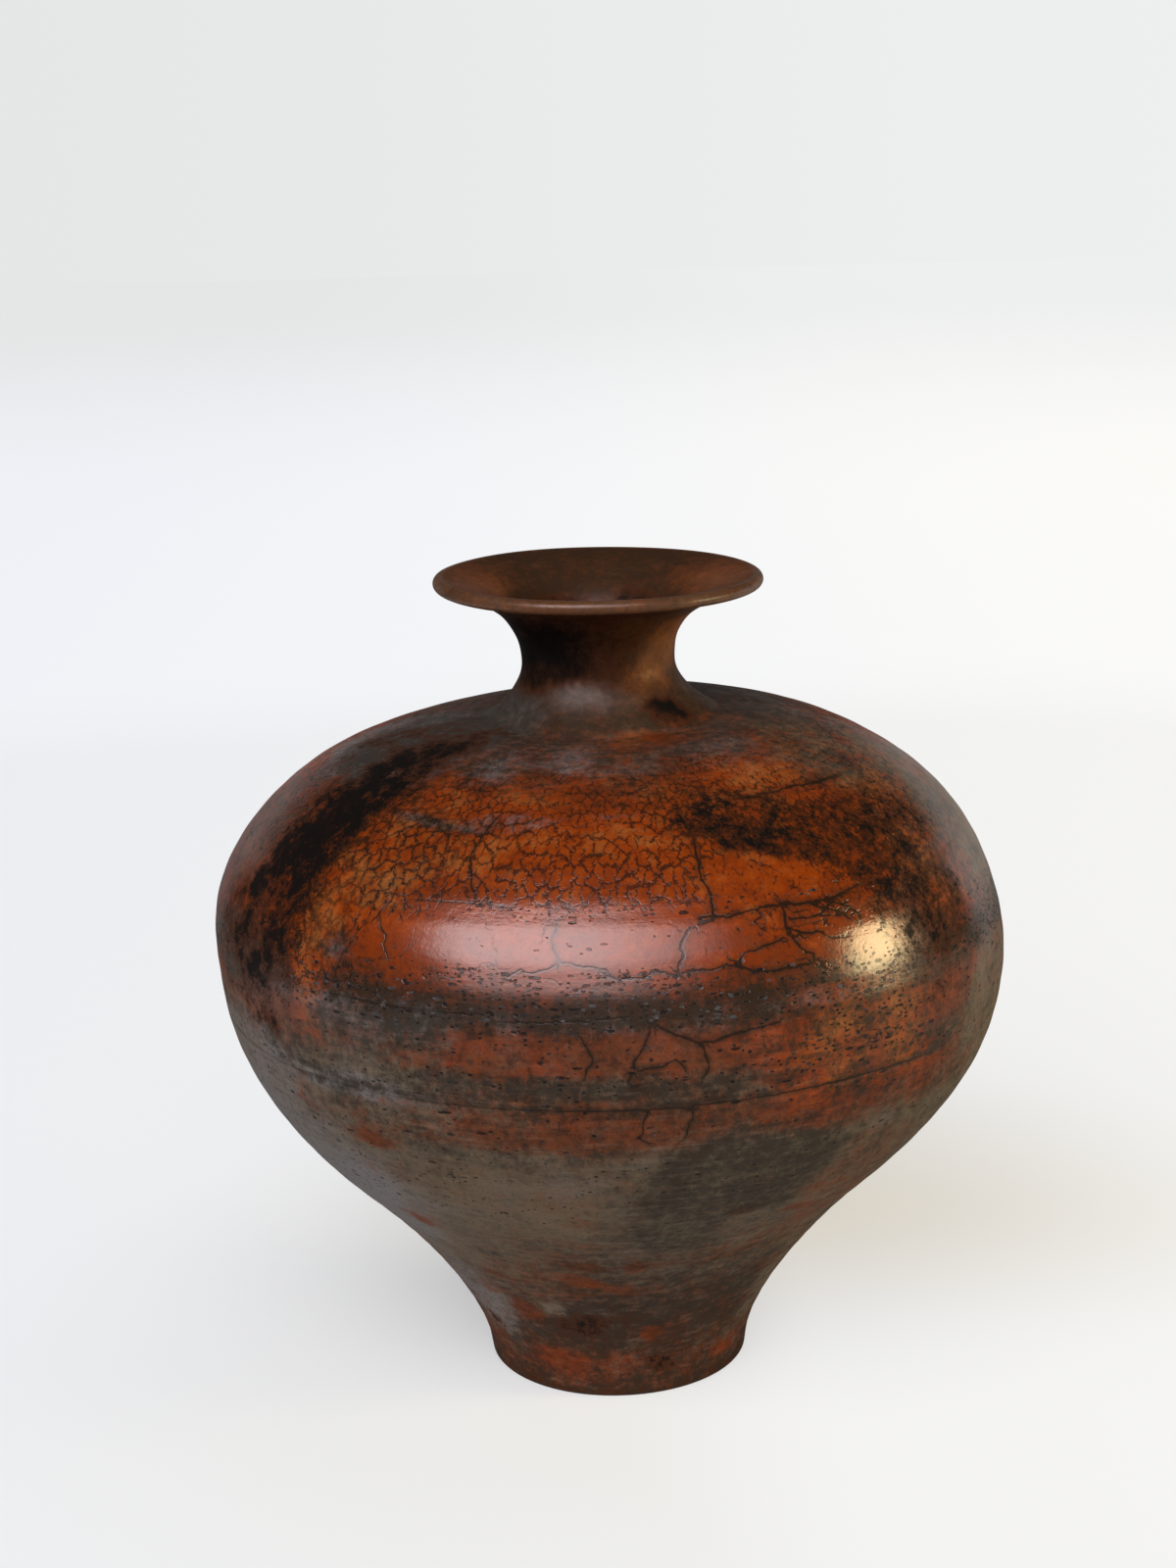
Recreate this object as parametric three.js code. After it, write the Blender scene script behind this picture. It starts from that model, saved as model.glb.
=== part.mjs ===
// A raku vase, 281 mm across the belly and 291 mm tall, built the way a potter builds one of this size: a foot
// ring, a base slab, a lower bowl, an upper dome and a neck with its flared rim. Each section has a tongue on its
// underside that enters a groove in the section below, and the clay slip that glues the two fills the rest of the
// groove, so nothing shows outside but the two edges meeting. The kiln then makes one body of them.
// Sizes are in millimetres. +Z is up, and the origin is the centre of the foot's standing face.

import * as THREE from "three";

// Foot ring
const FOOT_RADIUS = 47; // outside, just above the rounded standing edge
const FOOT_TAPER = 1.4; // how much wider the ring is at its top
const FOOT_HEIGHT = 10;
const FOOT_WALL = 8.5; // width of the ring, from its outside to the turned recess under the base
const STANDING_EDGE = 1.6; // radius of the rounding on both edges that meet the table

// Lower bowl: a flare that turns into the belly
const FLARE_RISE = 70; // from the top of the foot to where the outline stops curving outwards
const FLARE_RADIUS = 99.1;
const BELLY_RISE = 82; // from there to the widest point
const BELLY_RADIUS = 140.3;
const FLARE_START_SLOPE = 0.27; // radius gained for each millimetre of height
const FLARE_END_SLOPE = 1.05;

// Upper dome, neck and rim
const SEAM_RISE = 15; // the two big sections join this far above the widest point
const DOME_RISE = 79; // from the widest point to the root of the neck
const NECK_ROOT_RADIUS = 41;
const NECK_RISE = 19.5; // from the root to the narrowest point
const NECK_RADIUS = 27.1;
const RIM_RISE = 30; // from the narrowest point to the top of the lip
const RIM_RADIUS = 57.7;
const RIM_ANGLE = 8; // degrees that the underside of the rim still rises at the lip
const LIP_THICKNESS = 4.6; // the lip is a half round of this diameter

// Walls
const SLAB_THICKNESS = 8;
const WALL_AT_BASE = 6.4;
const WALL_AT_BELLY = 5.6;
const WALL_AT_NECK_ROOT = 5;
const WALL_AT_NECK = 4.8;

// Tongue and groove joint
const GROOVE_WIDTH = 2.4;
const GROOVE_DEPTH = 2.4;
const SLIP_THICKNESS = 0.4; // on both sides of the tongue and under it

// Fullness of the outline: the length of each curve's end handle, as a share of that curve's rise or run
const FLARE_START_FULLNESS = 0.34;
const FLARE_END_FULLNESS = 0.29;
const BELLY_START_FULLNESS = 0.35;
const BELLY_END_FULLNESS = 0.36;
const DOME_START_FULLNESS = 0.63;
const DOME_END_FULLNESS = 0.51;
const DOME_END_SLOPE = 0.03;
const ROOT_START_FULLNESS = 0.3;
const ROOT_START_SLOPE = 0.8;
const ROOT_END_FULLNESS = 0.48;
const FLARED_RIM_START_FULLNESS = 0.3;
const FLARED_RIM_END_FULLNESS = 0.87;

// How finely the solids are faceted
const AROUND = 48; // facets in a full turn
const LINE_SAMPLES = 48; // samples of each curve when the wall lines are worked out
const LIP_FACETS = 6;
const EDGE_FACETS = 3;
const SLICE = { lower: 13, lowerInside: 8, upper: 13, upperInside: 8, besideGroove: 3, neck: 13, neckInside: 11 };

// Sizes that follow
const FOOT_BORE = FOOT_RADIUS - FOOT_WALL;
const FLOOR_HEIGHT = FOOT_HEIGHT + SLAB_THICKNESS;
const FLARE_HEIGHT = FOOT_HEIGHT + FLARE_RISE;
const BELLY_HEIGHT = FLARE_HEIGHT + BELLY_RISE;
const SEAM_HEIGHT = BELLY_HEIGHT + SEAM_RISE;
const ROOT_HEIGHT = BELLY_HEIGHT + DOME_RISE;
const NECK_HEIGHT = ROOT_HEIGHT + NECK_RISE;
const RIM_HEIGHT = NECK_HEIGHT + RIM_RISE;

/** A point of the outline: its distance from the axis and its height. */
const at = (radius, height) => new THREE.Vector2(radius, height);

/** The centre of the lip's half round, and the direction that its underside faces. */
function lip() {
  const angle = THREE.MathUtils.degToRad(RIM_ANGLE);
  return {
    centre: at(RIM_RADIUS - LIP_THICKNESS / 2, RIM_HEIGHT - LIP_THICKNESS / 2),
    down: at(Math.sin(angle), -Math.cos(angle)),
  };
}

/** The outside of the pot above the foot ring, from the foot to the underside of the lip, as five curves. */
function outsideCurves() {
  const footTop = at(FOOT_RADIUS + FOOT_TAPER, FOOT_HEIGHT);
  const flare = at(FLARE_RADIUS, FLARE_HEIGHT);
  const belly = at(BELLY_RADIUS, BELLY_HEIGHT);
  const root = at(NECK_ROOT_RADIUS, ROOT_HEIGHT);
  const neck = at(NECK_RADIUS, NECK_HEIGHT);
  const { centre, down } = lip();
  const underLip = centre.clone().addScaledVector(down, LIP_THICKNESS / 2);

  const flareStart = FLARE_START_FULLNESS * FLARE_RISE;
  const flareEnd = FLARE_END_FULLNESS * FLARE_RISE;
  const bellyStart = BELLY_START_FULLNESS * BELLY_RISE;
  const domeEnd = DOME_END_FULLNESS * (BELLY_RADIUS - NECK_ROOT_RADIUS);
  const rootStart = ROOT_START_FULLNESS * (NECK_ROOT_RADIUS - NECK_RADIUS);
  const rimEnd = FLARED_RIM_END_FULLNESS * (underLip.x - NECK_RADIUS);
  const rimSlope = Math.tan(THREE.MathUtils.degToRad(RIM_ANGLE));
  return [
    new THREE.CubicBezierCurve(
      footTop,
      at(footTop.x + flareStart * FLARE_START_SLOPE, footTop.y + flareStart),
      at(flare.x - flareEnd * FLARE_END_SLOPE, flare.y - flareEnd),
      flare,
    ),
    new THREE.CubicBezierCurve(
      flare,
      at(flare.x + bellyStart * FLARE_END_SLOPE, flare.y + bellyStart),
      at(belly.x, belly.y - BELLY_END_FULLNESS * BELLY_RISE),
      belly,
    ),
    new THREE.CubicBezierCurve(
      belly,
      at(belly.x, belly.y + DOME_START_FULLNESS * DOME_RISE),
      at(root.x + domeEnd, root.y - domeEnd * DOME_END_SLOPE),
      root,
    ),
    new THREE.CubicBezierCurve(
      root,
      at(root.x - rootStart, root.y + rootStart * ROOT_START_SLOPE),
      at(neck.x, neck.y - ROOT_END_FULLNESS * NECK_RISE),
      neck,
    ),
    new THREE.CubicBezierCurve(
      neck,
      at(neck.x, neck.y + FLARED_RIM_START_FULLNESS * RIM_RISE),
      at(underLip.x - rimEnd, underLip.y - rimEnd * rimSlope),
      underLip,
    ),
  ];
}

/** The wall's thickness at a height of the outside, which changes evenly from one named thickness to the next. */
function wallAt(height) {
  const stations = [
    [FOOT_HEIGHT, WALL_AT_BASE],
    [BELLY_HEIGHT, WALL_AT_BELLY],
    [ROOT_HEIGHT, WALL_AT_NECK_ROOT],
    [NECK_HEIGHT, WALL_AT_NECK],
    [RIM_HEIGHT - LIP_THICKNESS, LIP_THICKNESS],
  ];
  const above = stations.findIndex(([station]) => height < station);
  if (above === 0) return stations[0][1];
  if (above < 0) return LIP_THICKNESS;
  const [[low, thin], [high, thick]] = [stations[above - 1], stations[above]];
  return THREE.MathUtils.mapLinear(height, low, high, thin, thick);
}

/** The outside and the inside of the wall as two fine lines, the inside one wall thickness in from the outside. */
function wallLines() {
  const outside = [];
  const inside = [];
  for (const curve of outsideCurves()) {
    for (let i = 0; i <= LINE_SAMPLES; i++) {
      const point = curve.getPoint(i / LINE_SAMPLES);
      const along = curve.getTangent(i / LINE_SAMPLES);
      outside.push(point);
      inside.push(at(point.x - along.y * wallAt(point.y), point.y + along.x * wallAt(point.y)));
    }
  }
  return { outside, inside };
}

/** The point where a line that climbs all the way passes a height. */
function crossing(line, height) {
  const above = line.findIndex((point) => point.y >= height);
  const [low, high] = [line[above - 1] ?? line[above], line[above]];
  const share = high.y === low.y ? 0 : (height - low.y) / (high.y - low.y);
  return at(THREE.MathUtils.lerp(low.x, high.x, share), height);
}

/** The stretch of a line between two heights as evenly spaced points, both ends included. */
function stretch(line, from, to, pieces) {
  const start = crossing(line, from);
  const end = crossing(line, to);
  const between = line.filter((point) => point.y > from && point.y < to);
  return evenly([start, ...between, end], pieces);
}

/** A line walked in equal steps. */
function evenly(line, pieces) {
  const path = new THREE.CurvePath();
  for (let i = 1; i < line.length; i++) {
    if (line[i].distanceTo(line[i - 1]) > 1e-6) path.add(new THREE.LineCurve(line[i - 1], line[i]));
  }
  const points = path.getSpacedPoints(pieces);
  points[0] = line[0];
  points[pieces] = line[line.length - 1];
  return points;
}

const { outside, inside } = wallLines();

/** The points of an arc about a centre, from one direction to another, in degrees from the radius. */
function arc(centre, radius, from, to, facets) {
  return Array.from({ length: facets + 1 }, (_, i) => {
    const angle = THREE.MathUtils.degToRad(THREE.MathUtils.lerp(from, to, i / facets));
    return at(centre.x + radius * Math.cos(angle), centre.y + radius * Math.sin(angle));
  });
}

/** A joint at a height. Its groove lies half way between the faces of the wall, over the groove's whole depth. */
function jointAt(height) {
  const depths = [height, height - GROOVE_DEPTH];
  const outer = Math.min(...depths.map((depth) => crossing(outside, depth).x));
  const inner = Math.max(...depths.map((depth) => crossing(inside, depth).x));
  return { height, radius: (outer + inner) / 2 };
}

/** The four joints, from the table up. */
const JOINTS = {
  foot: { height: FOOT_HEIGHT, radius: (FOOT_BORE + FOOT_RADIUS) / 2 },
  base: jointAt(FLOOR_HEIGHT),
  belly: jointAt(SEAM_HEIGHT),
  neck: jointAt(ROOT_HEIGHT),
};

/** The groove in the top of the lower section, from its outer edge to its inner one. */
function groove({ height, radius }) {
  const half = GROOVE_WIDTH / 2;
  return [
    at(radius + half, height),
    at(radius + half, height - GROOVE_DEPTH),
    at(radius - half, height - GROOVE_DEPTH),
    at(radius - half, height),
  ];
}

/** The tongue under the upper section, from its inner edge to its outer one. */
function tongue({ height, radius }) {
  const half = GROOVE_WIDTH / 2 - SLIP_THICKNESS;
  const depth = GROOVE_DEPTH - SLIP_THICKNESS;
  return [
    at(radius - half, height),
    at(radius - half, height - depth),
    at(radius + half, height - depth),
    at(radius + half, height),
  ];
}

/** The slip that fills a groove round its tongue. */
const slip = (joint) => [...groove(joint).reverse(), ...tongue(joint).reverse()];

/** The standing ring, with a rounded edge inside and outside, and a groove for the slab's tongue. */
function footRing() {
  const outer = at(FOOT_RADIUS - STANDING_EDGE, STANDING_EDGE);
  const inner = at(FOOT_BORE + STANDING_EDGE, STANDING_EDGE);
  return [
    ...arc(inner, STANDING_EDGE, 180, 270, EDGE_FACETS),
    ...arc(outer, STANDING_EDGE, 270, 360, EDGE_FACETS),
    at(FOOT_RADIUS + FOOT_TAPER, FOOT_HEIGHT),
    ...groove(JOINTS.foot),
    at(FOOT_BORE, FOOT_HEIGHT),
  ];
}

/** The disc that closes the pot, its edge flush with the outside. */
function baseSlab() {
  return [
    at(0, FOOT_HEIGHT),
    ...tongue(JOINTS.foot),
    ...stretch(outside, FOOT_HEIGHT, FLOOR_HEIGHT, 1),
    ...groove(JOINTS.base),
    at(0, FLOOR_HEIGHT),
  ];
}

/** A thrown section of wall between two joints. Its inside has short facets where the upper groove thins the wall. */
function thrownSection(lower, upper, outsidePieces, insidePieces) {
  const underGroove = upper.height - 2 * GROOVE_DEPTH;
  return [
    ...tongue(lower),
    ...stretch(outside, lower.height, upper.height, outsidePieces),
    ...groove(upper),
    ...stretch(inside, underGroove, upper.height, SLICE.besideGroove).slice(1).reverse(),
    ...stretch(inside, lower.height, underGroove, insidePieces).reverse(),
  ];
}

/** The neck, with its trumpet of a rim and the half round lip. */
function neckAndRim() {
  const { centre, down } = lip();
  const under = THREE.MathUtils.radToDeg(down.angle()) - 360;
  const topOutside = outside[outside.length - 1].y;
  const topInside = inside[inside.length - 1].y;
  return [
    ...tongue(JOINTS.neck),
    ...stretch(outside, ROOT_HEIGHT, topOutside, SLICE.neck).slice(0, -1),
    ...arc(centre, LIP_THICKNESS / 2, under, under + 180, LIP_FACETS).slice(0, -1),
    ...stretch(inside, ROOT_HEIGHT, topInside, SLICE.neckInside).reverse(),
  ];
}

/** A profile turned about the axis. One that doesn't start and end on the axis is closed on itself. */
function turned(name, profile, material) {
  const onAxis = profile[0].x === 0;
  const points = onAxis ? profile : [...profile, profile[0].clone()];
  const geometry = new THREE.LatheGeometry(points, AROUND);
  geometry.rotateX(Math.PI / 2);
  const mesh = new THREE.Mesh(geometry, material);
  mesh.name = name;
  return mesh;
}

/** Fired clay under a burnished slip, in the colour that each section shows most of. */
const clay = (color, roughness) => new THREE.MeshStandardMaterial({ color, roughness, metalness: 0 });
const smokedFoot = clay(0x4a3226, 0.6);
const smokedClay = clay(0x54463a, 0.55);
const orangeClay = clay(0xa8481c, 0.35);
const brownClay = clay(0x4d3325, 0.45);
const slipClay = clay(0x8a7463, 0.9);

const vase = new THREE.Group();
vase.add(
  turned("foot_ring", footRing(), smokedFoot),
  turned("base_slab", baseSlab(), smokedFoot),
  turned("lower_bowl", thrownSection(JOINTS.base, JOINTS.belly, SLICE.lower, SLICE.lowerInside), smokedClay),
  turned("upper_dome", thrownSection(JOINTS.belly, JOINTS.neck, SLICE.upper, SLICE.upperInside), orangeClay),
  turned("neck_and_rim", neckAndRim(), brownClay),
);
for (const [place, joint] of Object.entries(JOINTS)) {
  vase.add(turned(`${place}_joint_slip`, slip(joint), slipClay));
}

export default vase;
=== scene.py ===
"""A smoke-fired raku vase, dressed and lit as in its photograph.

Everything is in metres with +Z up, and the origin is the centre of the foot's standing face. Azimuths are in
degrees round +Z: 0 faces -Y, where the photograph was taken from, and they grow towards +X.
"""

import logging
import math
from dataclasses import dataclass, field
from enum import Enum
from typing import Union

import bpy
import numpy as np
from mathutils import Matrix, Vector

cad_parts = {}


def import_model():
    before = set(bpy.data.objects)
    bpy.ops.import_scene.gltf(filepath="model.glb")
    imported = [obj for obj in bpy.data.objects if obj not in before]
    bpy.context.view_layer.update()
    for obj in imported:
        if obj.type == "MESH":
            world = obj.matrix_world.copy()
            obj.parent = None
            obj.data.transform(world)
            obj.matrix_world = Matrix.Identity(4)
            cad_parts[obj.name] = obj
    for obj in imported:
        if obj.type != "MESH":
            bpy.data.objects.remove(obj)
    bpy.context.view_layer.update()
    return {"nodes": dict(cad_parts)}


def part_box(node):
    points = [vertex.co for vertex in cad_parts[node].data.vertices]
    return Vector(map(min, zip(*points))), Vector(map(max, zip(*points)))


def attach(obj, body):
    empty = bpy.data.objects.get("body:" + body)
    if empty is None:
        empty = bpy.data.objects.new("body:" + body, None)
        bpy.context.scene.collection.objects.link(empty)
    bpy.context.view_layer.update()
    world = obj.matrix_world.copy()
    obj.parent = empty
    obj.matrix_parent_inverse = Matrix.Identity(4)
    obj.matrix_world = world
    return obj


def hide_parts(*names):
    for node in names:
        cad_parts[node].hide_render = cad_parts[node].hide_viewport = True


log = logging.getLogger("vase")

BODY = "root"
UNROLLED = "unrolled"
TURNED = "turned"
ROLL_RADIUS = 0.115  # the radius at which the unrolled surface has its true size
MILLIMETRE = 0.001
NOISE_GAIN = 4.0  # brings a noise pattern's narrow spread to about -0.7 to 0.7

Colour = tuple[float, float, float, float]
Value = Union["Signal", float]


def srgb(red: float, green: float, blue: float) -> Colour:
    """Turns a displayed colour into the linear one that a node takes.

    Args:
        red: Red from 0 to 255.
        green: Green from 0 to 255.
        blue: Blue from 0 to 255.

    Returns:
        The linear colour with full alpha.
    """
    shown = (channel / 255 for channel in (red, green, blue))
    linear = [share / 12.92 if share <= 0.04045 else ((share + 0.055) / 1.055) ** 2.4 for share in shown]
    return (linear[0], linear[1], linear[2], 1.0)


def eased(share: np.ndarray) -> np.ndarray:
    """Eases shares from 0 to 1, so that they leave 0 and reach 1 smoothly."""
    return share * share * (3 - 2 * share)


# Shader graphs


@dataclass(frozen=True)
class Signal:
    """An output socket that takes part in sums, which adds the nodes that work them out."""

    graph: "NodeGraph"
    socket: bpy.types.NodeSocket

    def __add__(self, other: Value) -> "Signal":
        """Adds a value."""
        return self.graph.maths("ADD", self, other)

    def __radd__(self, other: Value) -> "Signal":
        """Adds to a value."""
        return self.graph.maths("ADD", other, self)

    def __sub__(self, other: Value) -> "Signal":
        """Takes a value away."""
        return self.graph.maths("SUBTRACT", self, other)

    def __rsub__(self, other: Value) -> "Signal":
        """Is taken away from a value."""
        return self.graph.maths("SUBTRACT", other, self)

    def __mul__(self, other: Value) -> "Signal":
        """Multiplies by a value."""
        return self.graph.maths("MULTIPLY", self, other)

    def __rmul__(self, other: Value) -> "Signal":
        """Multiplies a value."""
        return self.graph.maths("MULTIPLY", other, self)

    def __truediv__(self, other: Value) -> "Signal":
        """Divides by a value."""
        return self.graph.maths("DIVIDE", self, other)

    def __abs__(self) -> "Signal":
        """Drops the sign."""
        return self.graph.maths("ABSOLUTE", self, 0.0)

    def most(self, other: Value) -> "Signal":
        """Takes the larger of this and a value."""
        return self.graph.maths("MAXIMUM", self, other)

    def rise(self, low: Value, high: Value) -> "Signal":
        """Climbs smoothly from 0 at the low value to 1 at the high one.

        Args:
            low: Where the climb starts.
            high: Where it ends. It may be less than low, and then the result falls.

        Returns:
            The climb, which stays between 0 and 1.
        """
        limits = {"Value": self, "From Min": low, "From Max": high}
        return self.graph.node("ShaderNodeMapRange", {"interpolation_type": "SMOOTHSTEP"}, limits)

    def sibling(self, name: str) -> "Signal":
        """Gives another output of the same node.

        Args:
            name: The output's name.

        Returns:
            That output.
        """
        return Signal(self.graph, self.socket.node.outputs[name])


class NodeGraph:
    """The nodes of one material or of the world."""

    def __init__(self, tree: bpy.types.NodeTree) -> None:
        """Starts from an empty tree.

        Args:
            tree: The tree to fill.
        """
        tree.nodes.clear()
        self.tree = tree

    def node(
        self, kind: str, settings: dict | None = None, inputs: dict | None = None, output: int | str = 0
    ) -> Signal:
        """Adds a node.

        Args:
            kind: The node's type.
            settings: Its own settings, which are set before its sockets. A ramp takes "stops": pairs of
                place and colour.
            inputs: A value or a signal for each socket, by the socket's name or number.
            output: The output that is wanted.

        Returns:
            That output.
        """
        made = self.tree.nodes.new(kind)
        for name, value in (settings or {}).items():
            if name == "stops":
                self._set_stops(made.color_ramp, value)
            else:
                setattr(made, name, value)
        for name, value in (inputs or {}).items():
            if isinstance(value, Signal):
                self.tree.links.new(value.socket, made.inputs[name])
            else:
                made.inputs[name].default_value = value
        return Signal(self, made.outputs[output] if len(made.outputs) else None)

    @staticmethod
    def _set_stops(ramp: bpy.types.ColorRamp, stops: list[tuple[float, Colour]]) -> None:
        """Gives a ramp its stops.

        Args:
            ramp: The ramp.
            stops: Pairs of place and colour, in order.
        """
        while len(ramp.elements) < len(stops):
            ramp.elements.new(1.0)
        for element, (place, colour) in zip(ramp.elements, stops):
            element.position = place
            element.color = colour

    def maths(self, operation: str, left: Value, right: Value) -> Signal:
        """Works out one operation on two values."""
        return self.node("ShaderNodeMath", {"operation": operation}, {0: left, 1: right})

    def vector(self, operation: str, left: object, right: object, third: object = (0.0, 0.0, 0.0)) -> Signal:
        """Works out one operation on vectors."""
        return self.node("ShaderNodeVectorMath", {"operation": operation}, {0: left, 1: right, 2: third})

    def measure(self, operation: str, left: object, right: object = (0.0, 0.0, 0.0)) -> Signal:
        """Works out a number from vectors, such as a length or a dot product."""
        return self.node("ShaderNodeVectorMath", {"operation": operation}, {0: left, 1: right}, "Value")

    def blend(self, share: Value, first: object, second: object) -> Signal:
        """Blends two colours, from the first at share 0 to the second at share 1."""
        return self.node("ShaderNodeMix", {"data_type": "RGBA"}, {0: share, 6: first, 7: second}, output=2)

    def ramp(self, share: Signal, stops: list[tuple[float, Colour]]) -> Signal:
        """Looks a value up in a row of colours."""
        return self.node("ShaderNodeValToRGB", {"stops": stops}, {"Fac": share})

    def attribute(self, name: str, output: str = "Fac") -> Signal:
        """Reads what was painted on the mesh under a name."""
        return self.node("ShaderNodeAttribute", {"attribute_name": name}, output=output)

    def noise(self, place: Signal, size: float, detail: float = 2.0, roughness: float = 0.5) -> Signal:
        """Adds an uneven pattern around 0.5.

        Args:
            place: Where the pattern is looked up.
            size: The size of its blots in metres.
            detail: How many finer layers lie on top.
            roughness: How strong those are.

        Returns:
            The pattern's value. Its sibling "Color" is three such patterns.
        """
        inputs = {"Vector": place, "Scale": 1 / size, "Detail": detail, "Roughness": roughness}
        return self.node("ShaderNodeTexNoise", {}, inputs)

    def uneven(self, place: Signal, size: float, detail: float = 3.0, roughness: float = 0.6) -> Signal:
        """Adds the same pattern around 0, mostly between -0.7 and 0.7."""
        return (self.noise(place, size, detail, roughness) - 0.5) * NOISE_GAIN

    def unevens(
        self, place: Signal, size: float, detail: float, roughness: float
    ) -> tuple[Signal, Signal, Signal]:
        """Adds three such patterns that have nothing to do with each other.

        Args:
            place: Where they are looked up.
            size: The size of their blots in metres.
            detail: How many finer layers lie on top.
            roughness: How strong those are.

        Returns:
            The three patterns.
        """
        three = self.noise(place, size, detail, roughness).sibling("Color")
        red = self.node("ShaderNodeSeparateColor", {}, {"Color": three})
        channels = (red, red.sibling("Green"), red.sibling("Blue"))
        first, second, third = ((channel - 0.5) * NOISE_GAIN for channel in channels)
        return first, second, third

    def cells(self, place: Signal, size: float, feature: str = "F1") -> Signal:
        """Adds a flat pattern of cells.

        Args:
            place: Where the pattern is looked up. Only its first two coordinates count.
            size: The size of a cell in metres.
            feature: F1 for the distance to a cell's centre, DISTANCE_TO_EDGE for the distance to its border.

        Returns:
            The distance, in cells. Its sibling "Color" is three draws for each cell.
        """
        settings = {"voronoi_dimensions": "2D", "feature": feature}
        return self.node("ShaderNodeTexVoronoi", settings, {"Vector": place, "Scale": 1 / size}, "Distance")

    def bump(self, relief: Signal) -> Signal:
        """Turns a relief in millimetres into a normal."""
        inputs = {"Strength": 1.0, "Distance": MILLIMETRE, "Height": relief}
        return self.node("ShaderNodeBump", {}, inputs)

    def plain_finish(self, colour: Signal, roughness: Signal, relief: Signal) -> None:
        """Ends a material with one plain shader.

        Args:
            colour: Its colour.
            roughness: Its roughness.
            relief: Its relief in millimetres.
        """
        inputs = {"Base Color": colour, "Roughness": roughness, "Normal": self.bump(relief)}
        shader = self.node("ShaderNodeBsdfPrincipled", {}, inputs)
        self.node("ShaderNodeOutputMaterial", {}, {"Surface": shader})


# The wall


@dataclass(frozen=True)
class Outline:
    """The outside of the vase from the foot ring's top to the underside of the lip.

    The frame gives the sizes without a value here. The fullness of a curve's end is the length of its
    handle, as a share of the curve's rise or run.
    """

    foot_radius: float
    foot_height: float
    belly_radius: float
    root_height: float
    rim_radius: float
    rim_height: float
    flare_radius: float = 0.0991
    flare_height: float = 0.080
    belly_height: float = 0.162
    root_radius: float = 0.041
    neck_radius: float = 0.0271
    neck_height: float = 0.2605
    rim_angle: float = math.radians(8)
    lip_thickness: float = 0.0046
    flare_slopes: tuple[float, float] = (0.27, 1.05)
    flare_fullness: tuple[float, float] = (0.34, 0.29)
    belly_fullness: tuple[float, float] = (0.35, 0.36)
    dome_fullness: tuple[float, float] = (0.63, 0.51)
    dome_end_slope: float = 0.03
    root_fullness: tuple[float, float] = (0.3, 0.48)
    root_slope: float = 0.8
    trumpet_fullness: tuple[float, float] = (0.3, 0.87)

    @classmethod
    def of_frame(cls) -> "Outline":
        """Takes the sizes that the construction model shows.

        Returns:
            The outline.
        """
        nodes = ("foot_ring", "lower_bowl", "upper_dome", "neck_and_rim")
        foot, bowl, dome, neck = (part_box(n)[1] for n in nodes)
        return cls(foot.x, foot.z, bowl.x, dome.z, neck.x, neck.z)

    def lip_centre(self) -> np.ndarray:
        """Gives the centre of the lip's half round, as radius and height."""
        half = self.lip_thickness / 2
        return np.array([self.rim_radius - half, self.rim_height - half])

    def curves(self) -> list[np.ndarray]:
        """Gives the five curves.

        Returns:
            Four control points for each, as radius and height.
        """
        foot = np.array([self.foot_radius, self.foot_height])
        flare = np.array([self.flare_radius, self.flare_height])
        belly = np.array([self.belly_radius, self.belly_height])
        root = np.array([self.root_radius, self.root_height])
        neck = np.array([self.neck_radius, self.neck_height])
        down = np.array([math.sin(self.rim_angle), -math.cos(self.rim_angle)])
        lip = self.lip_centre() + down * self.lip_thickness / 2

        flare_rise = self.flare_height - self.foot_height
        belly_rise = self.belly_height - self.flare_height
        flare_first, flare_last = (share * flare_rise for share in self.flare_fullness)
        belly_first, belly_last = (share * belly_rise for share in self.belly_fullness)
        dome_first = self.dome_fullness[0] * (self.root_height - self.belly_height)
        dome_last = self.dome_fullness[1] * (self.belly_radius - self.root_radius)
        root_first = self.root_fullness[0] * (self.root_radius - self.neck_radius)
        root_last = self.root_fullness[1] * (self.neck_height - self.root_height)
        trumpet_first = self.trumpet_fullness[0] * (self.rim_height - self.neck_height)
        trumpet_last = self.trumpet_fullness[1] * (lip[0] - self.neck_radius)
        slope_in, slope_out = self.flare_slopes
        lip_slope = math.tan(self.rim_angle)
        curves = (
            (foot, (flare_first * slope_in, flare_first), (flare_last * slope_out, flare_last), flare),
            (flare, (belly_first * slope_out, belly_first), (0, belly_last), belly),
            (belly, (0, dome_first), (-dome_last, dome_last * self.dome_end_slope), root),
            (root, (-root_first, root_first * self.root_slope), (0, root_last), neck),
            (neck, (0, trumpet_first), (trumpet_last, trumpet_last * lip_slope), lip),
        )
        return [np.array([begin, begin + leave, end - arrive, end]) for begin, leave, arrive, end in curves]


@dataclass
class Line:
    """A line of the wall's section, with what the clay needs to know at each point."""

    points: np.ndarray  # radius and height
    arc: np.ndarray  # length along the outside, from the foot ring's top
    out: np.ndarray  # direction away from the clay's middle, as radius and height
    slip: np.ndarray  # 1 where the burnished slip covers it, 0 on bare clay

    @classmethod
    def joined(cls, lines: list["Line"]) -> "Line":
        """Puts lines end to end."""
        parts = [[getattr(line, name) for line in lines] for name in ("points", "arc", "out", "slip")]
        return cls(*(np.concatenate(part) for part in parts))

    def backwards(self) -> "Line":
        """Gives the same line the other way round."""
        return Line(self.points[::-1], self.arc[::-1], self.out[::-1], self.slip[::-1])


class Side(Enum):
    """Which face of the wall."""

    OUTSIDE = "outside"
    INSIDE = "inside"


@dataclass(frozen=True)
class Joint:
    """A tongue and groove joint: its height and the middle radius of its groove."""

    height: float
    radius: float
    width: float = 0.0024
    depth: float = 0.0024
    slip: float = 0.0004


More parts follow.
